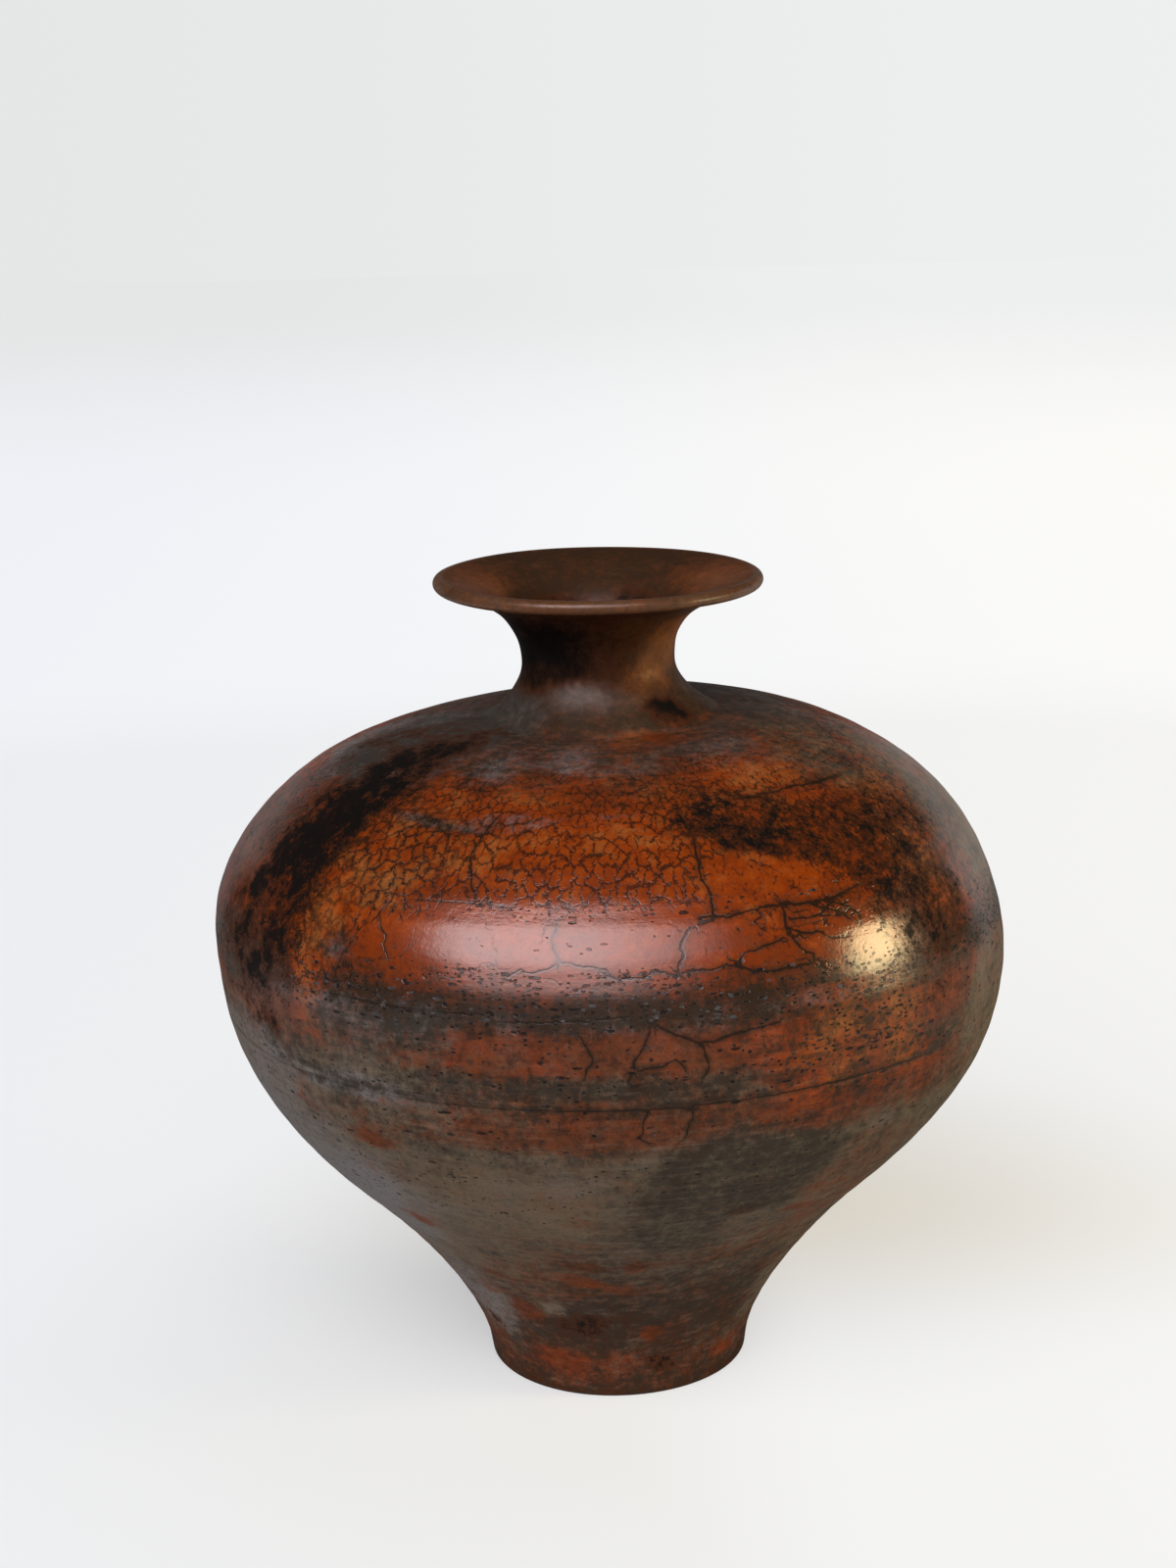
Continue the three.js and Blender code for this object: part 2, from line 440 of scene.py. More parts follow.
@dataclass
class Wall:
    """The thrown wall: its two faces as fine lines, and the joints in it."""

    outline: Outline
    samples: int = 600  # on each curve
    points: int = 4000  # on each face, in even steps
    blunting: float = 0.005  # how far along the outline its corners are rounded
    foot_wall: float = 0.0085
    foot_taper: float = 0.0014  # how much wider the foot ring is at its top
    standing_edge: float = 0.0016
    thickness_stations: tuple[tuple[float, float], ...] = (
        (0.010, 0.0064), (0.162, 0.0056), (0.241, 0.005), (0.2605, 0.0048), (0.286, 0.0046),
    )
    faces: dict[Side, np.ndarray] = field(init=False)
    arc: np.ndarray = field(init=False)
    out: np.ndarray = field(init=False)

    def __post_init__(self) -> None:
        """Works out the fine lines."""
        share = np.linspace(0, 1, self.samples + 1)[:, None]
        curves = []
        for start, first, last, end in self.outline.curves():
            curves.append(
                (1 - share) ** 3 * start + 3 * share * (1 - share) ** 2 * first
                + 3 * share**2 * (1 - share) * last + share**3 * end
            )
        raw = np.concatenate([curves[0]] + [curve[1:] for curve in curves[1:]])
        raw_arc = self._lengths(raw)
        self.arc = np.linspace(0, raw_arc[-1], self.points)
        sharp = np.stack([np.interp(self.arc, raw_arc, raw[:, i]) for i in (0, 1)], axis=1)
        outside = self._blunted(sharp)
        along = np.gradient(outside, axis=0)
        along /= np.linalg.norm(along, axis=1, keepdims=True)
        self.out = np.stack([along[:, 1], -along[:, 0]], axis=1)
        heights, thicknesses = zip(*self.thickness_stations)
        thickness = np.interp(outside[:, 1], heights, thicknesses)[:, None]
        self.faces = {Side.OUTSIDE: outside, Side.INSIDE: outside - self.out * thickness}

    @staticmethod
    def _lengths(points: np.ndarray) -> np.ndarray:
        """Gives the length of a line up to each of its points."""
        steps = np.linalg.norm(np.diff(points, axis=0), axis=1)
        return np.concatenate([[0], np.cumsum(steps)])

    def _blunted(self, points: np.ndarray) -> np.ndarray:
        """Rounds a line's corners by averaging it over a short stretch.

        Args:
            points: The line, in even steps.

        Returns:
            The rounded line, with both ends where they were.
        """
        reach = max(1, int(self.blunting / (self.arc[1] - self.arc[0]) / 2))
        window = np.hanning(2 * reach + 3)[1:-1]
        window /= window.sum()
        before = 2 * points[0] - points[reach:0:-1]
        after = 2 * points[-1] - points[-2:-reach - 2:-1]
        padded = np.concatenate([before, points, after])
        return np.stack([np.convolve(padded[:, i], window, "valid") for i in (0, 1)], axis=1)

    def at(self, side: Side, height: float) -> tuple[np.ndarray, float, np.ndarray]:
        """Finds the place where a face passes a height.

        Args:
            side: The face.
            height: The height.

        Returns:
            The point, its arc length and its outward direction.
        """
        face = self.faces[side]
        radius, arc, out_r, out_z = (
            float(np.interp(height, face[:, 1], values))
            for values in (face[:, 0], self.arc, self.out[:, 0], self.out[:, 1])
        )
        return np.array([radius, height]), arc, np.array([out_r, out_z])

    def joint(self, height: float) -> Joint:
        """Places a joint half way between the faces, over the groove's whole depth.

        Args:
            height: The joint's height.

        Returns:
            The joint.
        """
        depth = Joint.depth
        outer = min(self.at(Side.OUTSIDE, h)[0][0] for h in (height, height - depth))
        inner = max(self.at(Side.INSIDE, h)[0][0] for h in (height, height - depth))
        return Joint(height, (outer + inner) / 2)

    def foot_joint(self) -> Joint:
        """Places the joint on top of the foot ring."""
        bore = self.outline.foot_radius - self.foot_taper - self.foot_wall
        return Joint(self.outline.foot_height, bore + self.foot_wall / 2)

    def stretch(self, side: Side, low: float, high: float, step: float, slip: bool) -> Line:
        """Walks a face from one height to another in even steps.

        Args:
            side: The face.
            low: The height where the walk starts.
            high: The height where it ends.
            step: About how long a step is.
            slip: Whether the burnished slip covers the face.

        Returns:
            The stretch. It has an extra point just inside each end, so that the shading runs on over the
            joint.
        """
        face = self.faces[side]
        start, end = (self.at(side, height) for height in (low, high))
        within = (face[:, 1] > low) & (face[:, 1] < high)
        points = np.concatenate([[start[0]], face[within], [end[0]]])
        arcs = np.concatenate([[start[1]], self.arc[within], [end[1]]])
        outs = np.concatenate([[start[2]], self.out[within], [end[2]]])
        walked = self._lengths(points)
        ends = 0.0002
        steps = max(2, round(walked[-1] / step))
        even = np.linspace(0, walked[-1], steps + 1)
        even = np.sort(np.append(even, [ends, walked[-1] - ends]))
        columns = [np.interp(even, walked, values) for values in (*points.T, arcs, *outs.T)]
        covered = np.full(len(even), float(slip))
        return Line(np.stack(columns[:2], axis=1), columns[2], np.stack(columns[3:], axis=1), covered)

    def corners(self, points: list[tuple[float, float]], height: float) -> Line:
        """Makes a line of bare corners that go with the wall at a height.

        Args:
            points: The corners, as radius and height.
            height: The height.

        Returns:
            The line.
        """
        _, arc, out = self.at(Side.OUTSIDE, height)
        count = len(points)
        return Line(np.array(points), np.full(count, arc), np.tile(out, (count, 1)), np.zeros(count))

    def groove(self, joint: Joint) -> Line:
        """Gives the groove in the top of the lower section.

        Args:
            joint: The joint.

        Returns:
            The groove, from its outer edge to its inner one.
        """
        half, floor = joint.width / 2, joint.height - joint.depth
        outer, inner = joint.radius + half, joint.radius - half
        points = [(outer, joint.height), (outer, floor), (inner, floor), (inner, joint.height)]
        return self.corners(points, joint.height)

    def tongue(self, joint: Joint) -> Line:
        """Gives the tongue under the upper section.

        Args:
            joint: The joint.

        Returns:
            The tongue, from its inner edge to its outer one.
        """
        half, tip = joint.width / 2 - joint.slip, joint.height - joint.depth + joint.slip
        outer, inner = joint.radius + half, joint.radius - half
        points = [(inner, joint.height), (inner, tip), (outer, tip), (outer, joint.height)]
        return self.corners(points, joint.height)


# The potter's hand


@dataclass(frozen=True)
class Ripples:
    """A smooth uneven pattern that closes on itself round the vase, as a sum of seeded waves."""

    seed: int
    most_turns: int
    shortest: float
    waves: int = 28

    def at(self, azimuth: np.ndarray, arc: np.ndarray) -> np.ndarray:
        """Gives the pattern's value.

        Args:
            azimuth: Azimuths in radians.
            arc: Lengths along the outside.

        Returns:
            Values that mostly lie between -1 and 1.
        """
        draw = np.random.default_rng(self.seed)
        total = np.zeros_like(azimuth)
        weights = 0.0
        for _ in range(self.waves):
            turns = int(draw.integers(0, self.most_turns + 1))
            pitch = draw.uniform(-1, 1) / self.shortest
            phase = draw.uniform(0, math.tau)
            weight = 1 / (1 + turns + abs(pitch) * ROLL_RADIUS)
            total += weight * np.sin(turns * azimuth + pitch * math.tau * arc + phase)
            weights += weight**2
        return total / math.sqrt(weights)


@dataclass(frozen=True)
class ThrowersHand:
    """What hands do to a vase: it isn't quite round or upright, and the wheel leaves faint rings."""

    lean: tuple[tuple[float, float], ...] = (
        (0.0, 0.0005), (0.045, 0.0006), (0.08, 0.0004), (0.125, 0.0020), (0.15, 0.0018), (0.187, -0.0004),
        (0.224, 0.0002), (0.241, 0.0005), (0.259, -0.0002), (0.272, -0.0006), (0.2905, 0.0004),
    )
    tilt: tuple[tuple[float, float], ...] = (
        (0.0, 0.0), (0.222, 0.0), (0.241, 0.014), (0.253, 0.004), (0.27, -0.002), (0.2905, -0.011),
    )
    dents: float = 0.00022
    rings: float = 0.00005
    ring_spacing: float = 0.0105
    ring_wander: float = 1.4  # how far the rings stray, in radians of their own wave
    table_fade: float = 0.02  # the height below which the dents fade out, so that the foot stands flat
    dent_pattern: Ripples = Ripples(seed=11, most_turns=5, shortest=0.05)
    ring_pattern: Ripples = Ripples(seed=5, most_turns=3, shortest=0.03)

    def shaped(
        self, places: np.ndarray, azimuth: np.ndarray, arc: np.ndarray, out: np.ndarray
    ) -> np.ndarray:
        """Moves points of the true form to where the hand left them.

        Args:
            places: The points.
            azimuth: Their azimuths in radians.
            arc: Their lengths along the outside.
            out: Their outward directions, as radius and height.

        Returns:
            The moved points.
        """
        dent = self.dents * self.dent_pattern.at(azimuth, arc)
        phase = arc / self.ring_spacing * math.tau + self.ring_wander * self.ring_pattern.at(azimuth, arc)
        push = dent + self.rings * np.sin(phase)
        settled = np.clip(places[:, 2] / self.table_fade, 0, 1)
        moved = places.copy()
        moved[:, 0] += push * out[:, 0] * np.sin(azimuth)
        moved[:, 1] -= push * out[:, 0] * np.cos(azimuth)
        moved[:, 2] += push * out[:, 1] * settled
        moved[:, 0] += self._smooth_between(places[:, 2], self.lean)
        moved[:, 2] += self._smooth_between(places[:, 2], self.tilt) * places[:, 0]
        return moved

    @staticmethod
    def _smooth_between(height: np.ndarray, steps: tuple[tuple[float, float], ...]) -> np.ndarray:
        """Follows pairs of height and value, smoothly from one to the next.

        Args:
            height: Heights.
            steps: The pairs, from the lowest.

        Returns:
            The value at each height.
        """
        heights, values = np.array(steps).T
        index = np.clip(np.searchsorted(heights, height) - 1, 0, len(heights) - 2)
        share = np.clip((height - heights[index]) / (heights[index + 1] - heights[index]), 0, 1)
        return values[index] + (values[index + 1] - values[index]) * eased(share)


# What the fire left


class Layer(Enum):
    """What is painted over the slip. Each has a value at every point, mostly from 0 to 1."""

    CHAR_AND_SHADE = "char_and_shade"  # black from the smoke, and in the throat and under the lip painted shade
    HAZE_AND_SHEEN = "haze_and_sheen"  # a grey film, and in places painted sheen and reflection
    COOL = "cool"  # how blue that film is, and the blue of the painted sheens
    DUSK = "dusk"  # brown darkness in the slip
    GLOW = "glow"  # the slip's own hue, from brick red over orange to ochre, and on the neck's right the lamp's painted warm light
    CRAZE = "craze"  # fine crackle
    CRACK = "crack"  # wide crackle
    PITS = "pits"  # torn pits and drag marks
    MATT = "matt"  # loss of the burnish
    CALM = "calm"  # how little the tones vary


SQUARENESS = 2.6  # of a patch's edge, which would be an ellipse at 2


@dataclass(frozen=True)
class Mark:
    """A patch with a soft edge on one face of the wall, painted towards a value."""

    layer: Layer
    azimuth: float  # of its middle, in degrees
    height: float
    half_width: float  # in degrees
    half_height: float
    value: float
    softness: float = 0.6  # the share of the patch, from its edge inwards, over which it fades
    climb: float = 0.0  # metres that its middle line rises for each degree
    side: Side = Side.OUTSIDE

    def cover(self, azimuth: np.ndarray, height: np.ndarray) -> np.ndarray:
        """Gives how fully the patch covers each point.

        Args:
            azimuth: Azimuths in degrees.
            height: Heights.

        Returns:
            Shares from 0 to 1.
        """
        across = (azimuth - self.azimuth + 180) % 360 - 180
        level = self.height + self.climb * across
        aside = (np.abs(across) / self.half_width) ** SQUARENESS
        above = (np.abs(height - level) / self.half_height) ** SQUARENESS
        far = (aside + above) ** (1 / SQUARENESS)
        return eased(np.clip((1 - far) / self.softness, 0, 1))


@dataclass(frozen=True)
class Rift:
    """A single long crack or score, through points given as azimuth in degrees and height."""

    points: tuple[tuple[float, float], ...]
    width: float = 1.0  # as a share of a common crack's
    jag: float = 0.0010  # how far it strays between its points

    def path(self, wall: Wall, draw: np.random.Generator) -> np.ndarray:
        """Gives the crack as a jagged line on the unrolled wall.

        Args:
            wall: The wall that it runs on.
            draw: The source of its jags.

        Returns:
            Points as azimuth in radians and arc length.
        """
        path = np.array([(math.radians(a), wall.at(Side.OUTSIDE, h)[1]) for a, h in self.points])
        for level in (1, 2):
            middles = (path[1:] + path[:-1]) / 2
            stray = draw.normal(size=middles.shape) * self.jag / level**2 * [1 / ROLL_RADIUS, 1]
            merged = np.empty((len(path) + len(middles), 2))
            merged[0::2] = path
            merged[1::2] = middles + stray
            path = merged
        return path


GROUNDS: dict[Layer, tuple[tuple[float, float], ...]] = {
    Layer.CHAR_AND_SHADE: (
        (0.0, 0.35), (0.006, 0.15), (0.02, 0.2), (0.05, 0.1), (0.236, 0.05), (0.247, 0.1), (0.256, 0.3),
        # The rise to 0.5 just under the lip is partly painted shade under the rim.
        (0.284, 0.5), (0.287, 0.05),
    ),
    Layer.HAZE_AND_SHEEN: (
        (0.0, 0.3), (0.02, 0.4), (0.045, 0.5), (0.07, 0.65), (0.09, 0.85), (0.124, 0.8), (0.131, 0.4),
        (0.141, 0.35), (0.151, 0.65), (0.156, 0.3), (0.167, 0.25), (0.173, 0.45), (0.181, 0.12), (0.19, 0.0),
        (0.228, 0.05), (0.235, 0.25), (0.239, 0.55), (0.243, 0.35), (0.252, 0.5), (0.258, 0.15),
        (0.284, 0.1), (0.287, 0.45),
    ),
    Layer.COOL: ((0.0, 0.3), (0.09, 0.1), (0.16, 0.3), (0.175, 0.9), (0.22, 0.8), (0.255, 0.8), (0.26, 0.3)),
    Layer.DUSK: (
        (0.0, 1.1), (0.005, 0.8), (0.015, 0.65), (0.028, 0.9), (0.05, 0.75), (0.075, 0.5), (0.12, 0.5),
        (0.131, 0.5), (0.143, 0.56), (0.151, 0.85), (0.157, 0.46), (0.166, 0.42), (0.172, 0.9),
        (0.178, 0.98), (0.184, 0.45), (0.19, 0.15), (0.205, 0.05), (0.226, 0.1), (0.230, 0.25),
        (0.236, 0.65), (0.243, 0.9), (0.282, 0.9), (0.287, 0.7),
    ),
    Layer.GLOW: (
        (0.0, 0.35), (0.03, 0.3), (0.06, 0.2), (0.12, 0.2), (0.135, 0.3), (0.16, 0.32), (0.185, 0.42),
        (0.2, 0.52), (0.222, 0.6), (0.236, 0.6), (0.244, 0.75), (0.262, 0.88), (0.29, 0.85),
    ),
    Layer.CRAZE: ((0.203, 0.0), (0.208, 0.62), (0.226, 0.68), (0.236, 0.50), (0.241, 0.0)),
    Layer.CRACK: (
        (0.12, 0.0), (0.135, 0.35), (0.165, 0.45), (0.185, 0.6), (0.205, 0.5), (0.225, 0.2), (0.235, 0.0),
    ),
    Layer.PITS: (
        (0.0, 0.0), (0.08, 0.0), (0.1, 0.12), (0.13, 0.1), (0.168, 0.2), (0.172, 0.7), (0.179, 0.8),
        (0.184, 0.45), (0.189, 0.05), (0.202, 0.04), (0.2045, 0.35), (0.207, 0.03), (0.235, 0.02),
    ),
    Layer.MATT: (
        (0.0, 0.85), (0.12, 0.8), (0.135, 0.7), (0.16, 0.55), (0.172, 0.35), (0.180, 0.2), (0.188, 0.05),
        (0.22, 0.1), (0.235, 0.5), (0.255, 0.6), (0.284, 0.6), (0.2865, 0.4),
    ),
    Layer.CALM: (
        (0.0, 0.0), (0.06, 0.1), (0.09, 0.3), (0.12, 0.3), (0.135, 0.0), (0.234, 0.0), (0.243, 0.5),
        (0.252, 0.7),
    ),
}
"""What each layer is at every height, as pairs of height and value, before any mark is painted."""

INSIDE_GROUNDS: dict[Layer, float] = {
    Layer.CHAR_AND_SHADE: 0.12,
    Layer.HAZE_AND_SHEEN: 0.15,
    Layer.COOL: 0.1,
    Layer.DUSK: 0.95,
    Layer.GLOW: 0.75,
    Layer.CRAZE: 0.0,
    Layer.CRACK: 0.0,
    Layer.PITS: 0.0,
    Layer.MATT: 0.55,
    Layer.CALM: 0.7,
}

MARKS: tuple[Mark, ...] = (
    # Left smoke patch on the shoulder: a black core, mottled below, running up to the neck
    Mark(Layer.DUSK, -78, 0.206, 18, 0.036, 0.5, 0.5),
    Mark(Layer.GLOW, -78, 0.206, 16, 0.036, 0.35, 0.5),
    Mark(Layer.HAZE_AND_SHEEN, -78, 0.206, 14, 0.034, 0.1, 0.5),
    Mark(Layer.CHAR_AND_SHADE, -66, 0.200, 20, 0.036, 0.36, 0.7),
    Mark(Layer.CHAR_AND_SHADE, -57, 0.190, 13, 0.040, 0.75, 0.7),
    Mark(Layer.CHAR_AND_SHADE, -56, 0.219, 16, 0.031, 1.18, 1.0),
    Mark(Layer.CHAR_AND_SHADE, -56, 0.233, 20, 0.012, 0.95, 0.9),
    Mark(Layer.CHAR_AND_SHADE, -80, 0.234, 18, 0.012, 0.35, 0.8),
    # A painted reflection: the grey films at the shoulder's far left edge stand for the back wall's grazing
    # reflection.
    Mark(Layer.HAZE_AND_SHEEN, -64, 0.237, 26, 0.013, 0.95, 0.7),
    Mark(Layer.DUSK, -68, 0.238, 30, 0.014, 1.0, 0.5),
    Mark(Layer.HAZE_AND_SHEEN, -88, 0.236, 26, 0.013, 0.8, 0.6),
    Mark(Layer.MATT, -66, 0.184, 12, 0.026, 0.6, 0.8),
    Mark(Layer.CHAR_AND_SHADE, -74, 0.232, 9, 0.006, 0.15, 0.9),
    Mark(Layer.CHAR_AND_SHADE, -71, 0.203, 9, 0.020, 0.12, 0.9),
    Mark(Layer.CHAR_AND_SHADE, -51, 0.170, 3.5, 0.022, 0.5, 0.8),
    # Right smoke patch, dark along its lower left edge and speckled beyond
    Mark(Layer.DUSK, 66, 0.206, 24, 0.040, 0.6, 0.7),
    Mark(Layer.HAZE_AND_SHEEN, 82, 0.208, 24, 0.046, 0.8, 0.7),
    Mark(Layer.HAZE_AND_SHEEN, 62, 0.231, 20, 0.009, 0.6, 0.9),
    Mark(Layer.DUSK, 60, 0.231, 22, 0.009, 0.6, 0.9),
    Mark(Layer.COOL, 70, 0.195, 26, 0.070, 0.1, 0.4),
    Mark(Layer.GLOW, 66, 0.212, 22, 0.036, 0.8, 0.6),
    Mark(Layer.DUSK, 38, 0.2190, 32, 0.0125, 0.45, 0.6, -0.0003),
    Mark(Layer.CHAR_AND_SHADE, 36, 0.2205, 32, 0.0122, 0.50, 0.6, -0.0003),
    Mark(Layer.CHAR_AND_SHADE, 24, 0.2215, 20, 0.0060, 0.74, 0.9, -0.00055),
    Mark(Layer.CHAR_AND_SHADE, 52, 0.209, 20, 0.022, 0.46, 0.6),
    Mark(Layer.CHAR_AND_SHADE, 31, 0.2150, 14, 0.0055, 0.62, 0.9, -0.0007),
    Mark(Layer.CHAR_AND_SHADE, 49, 0.196, 12, 0.028, 0.66, 0.8),
    Mark(Layer.CHAR_AND_SHADE, 52, 0.187, 9, 0.020, 0.72, 1.0),
    Mark(Layer.MATT, 55, 0.186, 13, 0.030, 0.75, 0.8),
    Mark(Layer.CHAR_AND_SHADE, 62, 0.196, 12, 0.024, 0.32, 0.9),
    Mark(Layer.DUSK, 52, 0.180, 9, 0.016, 0.85, 0.8),
    Mark(Layer.HAZE_AND_SHEEN, 51, 0.184, 10, 0.020, 0.05, 0.8),
    Mark(Layer.CHAR_AND_SHADE, 50, 0.168, 5, 0.013, 0.5, 0.7),
    # Yellow and red turns of the slip's hue
    Mark(Layer.GLOW, -25, 0.219, 14, 0.009, 0.72, 0.9),
    Mark(Layer.GLOW, -38, 0.210, 15, 0.022, 0.74, 0.9),
    Mark(Layer.GLOW, 38, 0.2330, 20, 0.006, 0.68, 0.9),
    Mark(Layer.DUSK, 36, 0.2330, 18, 0.005, 0.15, 0.9),
    Mark(Layer.GLOW, 36, 0.154, 24, 0.030, 0.78, 0.8),
    Mark(Layer.GLOW, -45, 0.185, 6, 0.032, 0.75, 0.5),
    Mark(Layer.DUSK, -45, 0.185, 5, 0.030, 0.2, 0.5),
    Mark(Layer.HAZE_AND_SHEEN, -40, 0.188, 6, 0.007, 0.55, 0.9),
    Mark(Layer.DUSK, -40, 0.188, 6, 0.007, 0.65, 0.9),
    # Blue-grey smudges on the shoulder
    Mark(Layer.HAZE_AND_SHEEN, -33, 0.2254, 22, 0.0021, 0.50, 0.9),
    Mark(Layer.DUSK, -33, 0.2254, 24, 0.0024, 0.75, 0.9),
    Mark(Layer.HAZE_AND_SHEEN, -17, 0.2276, 15, 0.0022, 0.52, 0.8, 0.00008),
    Mark(Layer.HAZE_AND_SHEEN, 1, 0.2290, 11, 0.0014, 0.35, 0.8),
    Mark(Layer.HAZE_AND_SHEEN, -29, 0.2366, 12, 0.0036, 0.6, 0.9),
    Mark(Layer.HAZE_AND_SHEEN, -11, 0.2380, 13, 0.0032, 0.65, 0.9),
    Mark(Layer.DUSK, -11, 0.2380, 12, 0.0030, 0.5, 0.8),
    Mark(Layer.HAZE_AND_SHEEN, 10, 0.2385, 16, 0.0030, 0.55, 0.8),
    Mark(Layer.COOL, 10, 0.2385, 16, 0.0036, 0.4, 0.8),
    Mark(Layer.DUSK, 16, 0.2415, 34, 0.0034, 0.55, 1.0),
    Mark(Layer.HAZE_AND_SHEEN, 16, 0.2415, 34, 0.0034, 0.20, 1.0),
    # Crackle: round and dense on the left, hardly any beside the middle of the belly
    Mark(Layer.CRAZE, -37, 0.213, 16, 0.020, 1.1, 0.5),
    Mark(Layer.CRAZE, -43, 0.194, 9, 0.026, 0.85, 0.6),
    Mark(Layer.CRAZE, 30, 0.206, 18, 0.014, 0.35, 0.6),
    Mark(Layer.CRACK, 24, 0.195, 16, 0.012, 0.15, 0.5),
    Mark(Layer.CRAZE, 31, 0.193, 12, 0.010, 0.42, 0.9),
    # Pits
    Mark(Layer.PITS, 4, 0.184, 34, 0.004, 0.45, 0.6),
    Mark(Layer.PITS, -17, 0.187, 7, 0.0018, 1.0, 0.4),
    Mark(Layer.PITS, 4, 0.185, 5, 0.004, 1.0, 0.4),
    Mark(Layer.PITS, 60, 0.204, 30, 0.004, 0.05, 0.4),
    Mark(Layer.PITS, 34, 0.158, 18, 0.012, 0.65, 0.6),
    Mark(Layer.PITS, 38, 0.182, 10, 0.005, 0.95, 0.6),
    # Streaks and fields in the belly's bands
    Mark(Layer.DUSK, -34, 0.169, 18, 0.014, 0.85, 0.7),
    Mark(Layer.HAZE_AND_SHEEN, -34, 0.170, 18, 0.012, 0.55, 0.6),
    Mark(Layer.HAZE_AND_SHEEN, -68, 0.176, 15, 0.016, 0.35, 0.6),
    Mark(Layer.DUSK, -66, 0.176, 15, 0.016, 0.85, 0.6),
    Mark(Layer.DUSK, 32, 0.174, 14, 0.006, 0.45, 0.6),
    Mark(Layer.DUSK, 0, 0.1515, 26, 0.004, 0.9, 0.6),
    Mark(Layer.HAZE_AND_SHEEN, 36, 0.154, 20, 0.026, 0.1, 0.7),
    Mark(Layer.DUSK, 32, 0.150, 22, 0.028, 0.60, 0.7),
    Mark(Layer.HAZE_AND_SHEEN, -38, 0.144, 22, 0.026, 0.85, 0.7),
    Mark(Layer.DUSK, -38, 0.144, 20, 0.024, 0.6, 0.7),
    Mark(Layer.COOL, -42, 0.142, 24, 0.008, 0.8, 0.7),
    # A painted sheen: the grey-blue film low on the left stands for the surroundings' reflection.
    Mark(Layer.HAZE_AND_SHEEN, -68, 0.136, 22, 0.030, 1.0, 0.6),
    Mark(Layer.DUSK, -68, 0.136, 22, 0.030, 0.05, 0.8),
    Mark(Layer.COOL, -64, 0.132, 24, 0.040, 0.6, 0.8),
    Mark(Layer.CHAR_AND_SHADE, -58, 0.160, 5, 0.012, 0.35, 0.9),
    Mark(Layer.DUSK, -34, 0.1440, 30, 0.0016, 0.95, 1.0, 0.00003),
    Mark(Layer.DUSK, 12, 0.1432, 26, 0.0019, 1.0, 1.0, -0.00003),
    Mark(Layer.DUSK, 46, 0.1442, 18, 0.0017, 0.95, 1.0, 0.00005),
    Mark(Layer.DUSK, -48, 0.1474, 18, 0.0012, 0.9, 1.0),
    Mark(Layer.DUSK, -4, 0.1400, 22, 0.0012, 0.85, 1.0, 0.00003),
    Mark(Layer.DUSK, 32, 0.1482, 20, 0.0013, 0.85, 1.0, 0.00004),
    Mark(Layer.DUSK, -24, 0.1554, 20, 0.0011, 0.8, 1.0),
    Mark(Layer.HAZE_AND_SHEEN, 70, 0.145, 17, 0.032, 0.85, 0.5),
    Mark(Layer.DUSK, 70, 0.145, 17, 0.032, 0.3, 0.6),
    # Grey, olive and charcoal fields below the belly; the grey-blue field on the left is a painted sheen
    Mark(Layer.COOL, -54, 0.090, 34, 0.050, 0.85, 0.9),
    Mark(Layer.HAZE_AND_SHEEN, -50, 0.086, 32, 0.052, 1.0, 0.9),
    Mark(Layer.DUSK, -52, 0.086, 36, 0.054, 0.0, 0.9),
    Mark(Layer.COOL, -56, 0.036, 26, 0.030, 0.6, 0.8),
    Mark(Layer.HAZE_AND_SHEEN, -54, 0.036, 28, 0.030, 0.85, 0.8),
    Mark(Layer.DUSK, -56, 0.036, 28, 0.030, 0.15, 0.8),
    Mark(Layer.DUSK, -24, 0.060, 18, 0.026, 0.40, 0.9),
    Mark(Layer.HAZE_AND_SHEEN, 60, 0.040, 18, 0.036, 0.8, 0.8),
    Mark(Layer.DUSK, 60, 0.040, 18, 0.036, 0.45, 0.8),
    Mark(Layer.DUSK, -15, 0.099, 17, 0.022, 0.22, 0.4),
    Mark(Layer.DUSK, 19, 0.112, 18, 0.021, 0.85, 0.2),
    Mark(Layer.DUSK, 11, 0.088, 10, 0.016, 0.75, 0.25),
    Mark(Layer.HAZE_AND_SHEEN, 18, 0.105, 18, 0.030, 0.85, 0.3),
    Mark(Layer.HAZE_AND_SHEEN, 44, 0.096, 16, 0.030, 0.6, 0.5),
    Mark(Layer.DUSK, 44, 0.096, 16, 0.030, 0.45, 0.5),
    Mark(Layer.GLOW, 44, 0.096, 16, 0.030, 0.3, 0.5),
    Mark(Layer.HAZE_AND_SHEEN, 33, 0.088, 7, 0.005, 0.25, 0.9),
    Mark(Layer.HAZE_AND_SHEEN, 22, 0.096, 5, 0.006, 0.35, 0.9),
    Mark(Layer.HAZE_AND_SHEEN, -38, 0.124, 6, 0.005, 0.15, 0.9),
    Mark(Layer.HAZE_AND_SHEEN, -40, 0.083, 7, 0.005, 0.35, 0.9),
    # Red flashes and dark blots on the flare and the foot
    Mark(Layer.HAZE_AND_SHEEN, -5, 0.0565, 15, 0.0060, 0.1, 1.0, -0.0004),
    Mark(Layer.DUSK, -5, 0.0565, 15, 0.0060, 0.2, 1.0, -0.0004),
    Mark(Layer.HAZE_AND_SHEEN, -7, 0.067, 8, 0.004, 0.2, 0.9),
    Mark(Layer.HAZE_AND_SHEEN, 5, 0.067, 5, 0.006, 0.2, 0.9),
    Mark(Layer.HAZE_AND_SHEEN, -33, 0.036, 9, 0.010, 0.15, 0.9),
    Mark(Layer.DUSK, -33, 0.036, 9, 0.010, 0.45, 0.9),
    Mark(Layer.HAZE_AND_SHEEN, 12, 0.029, 7, 0.008, 0.0, 0.9),
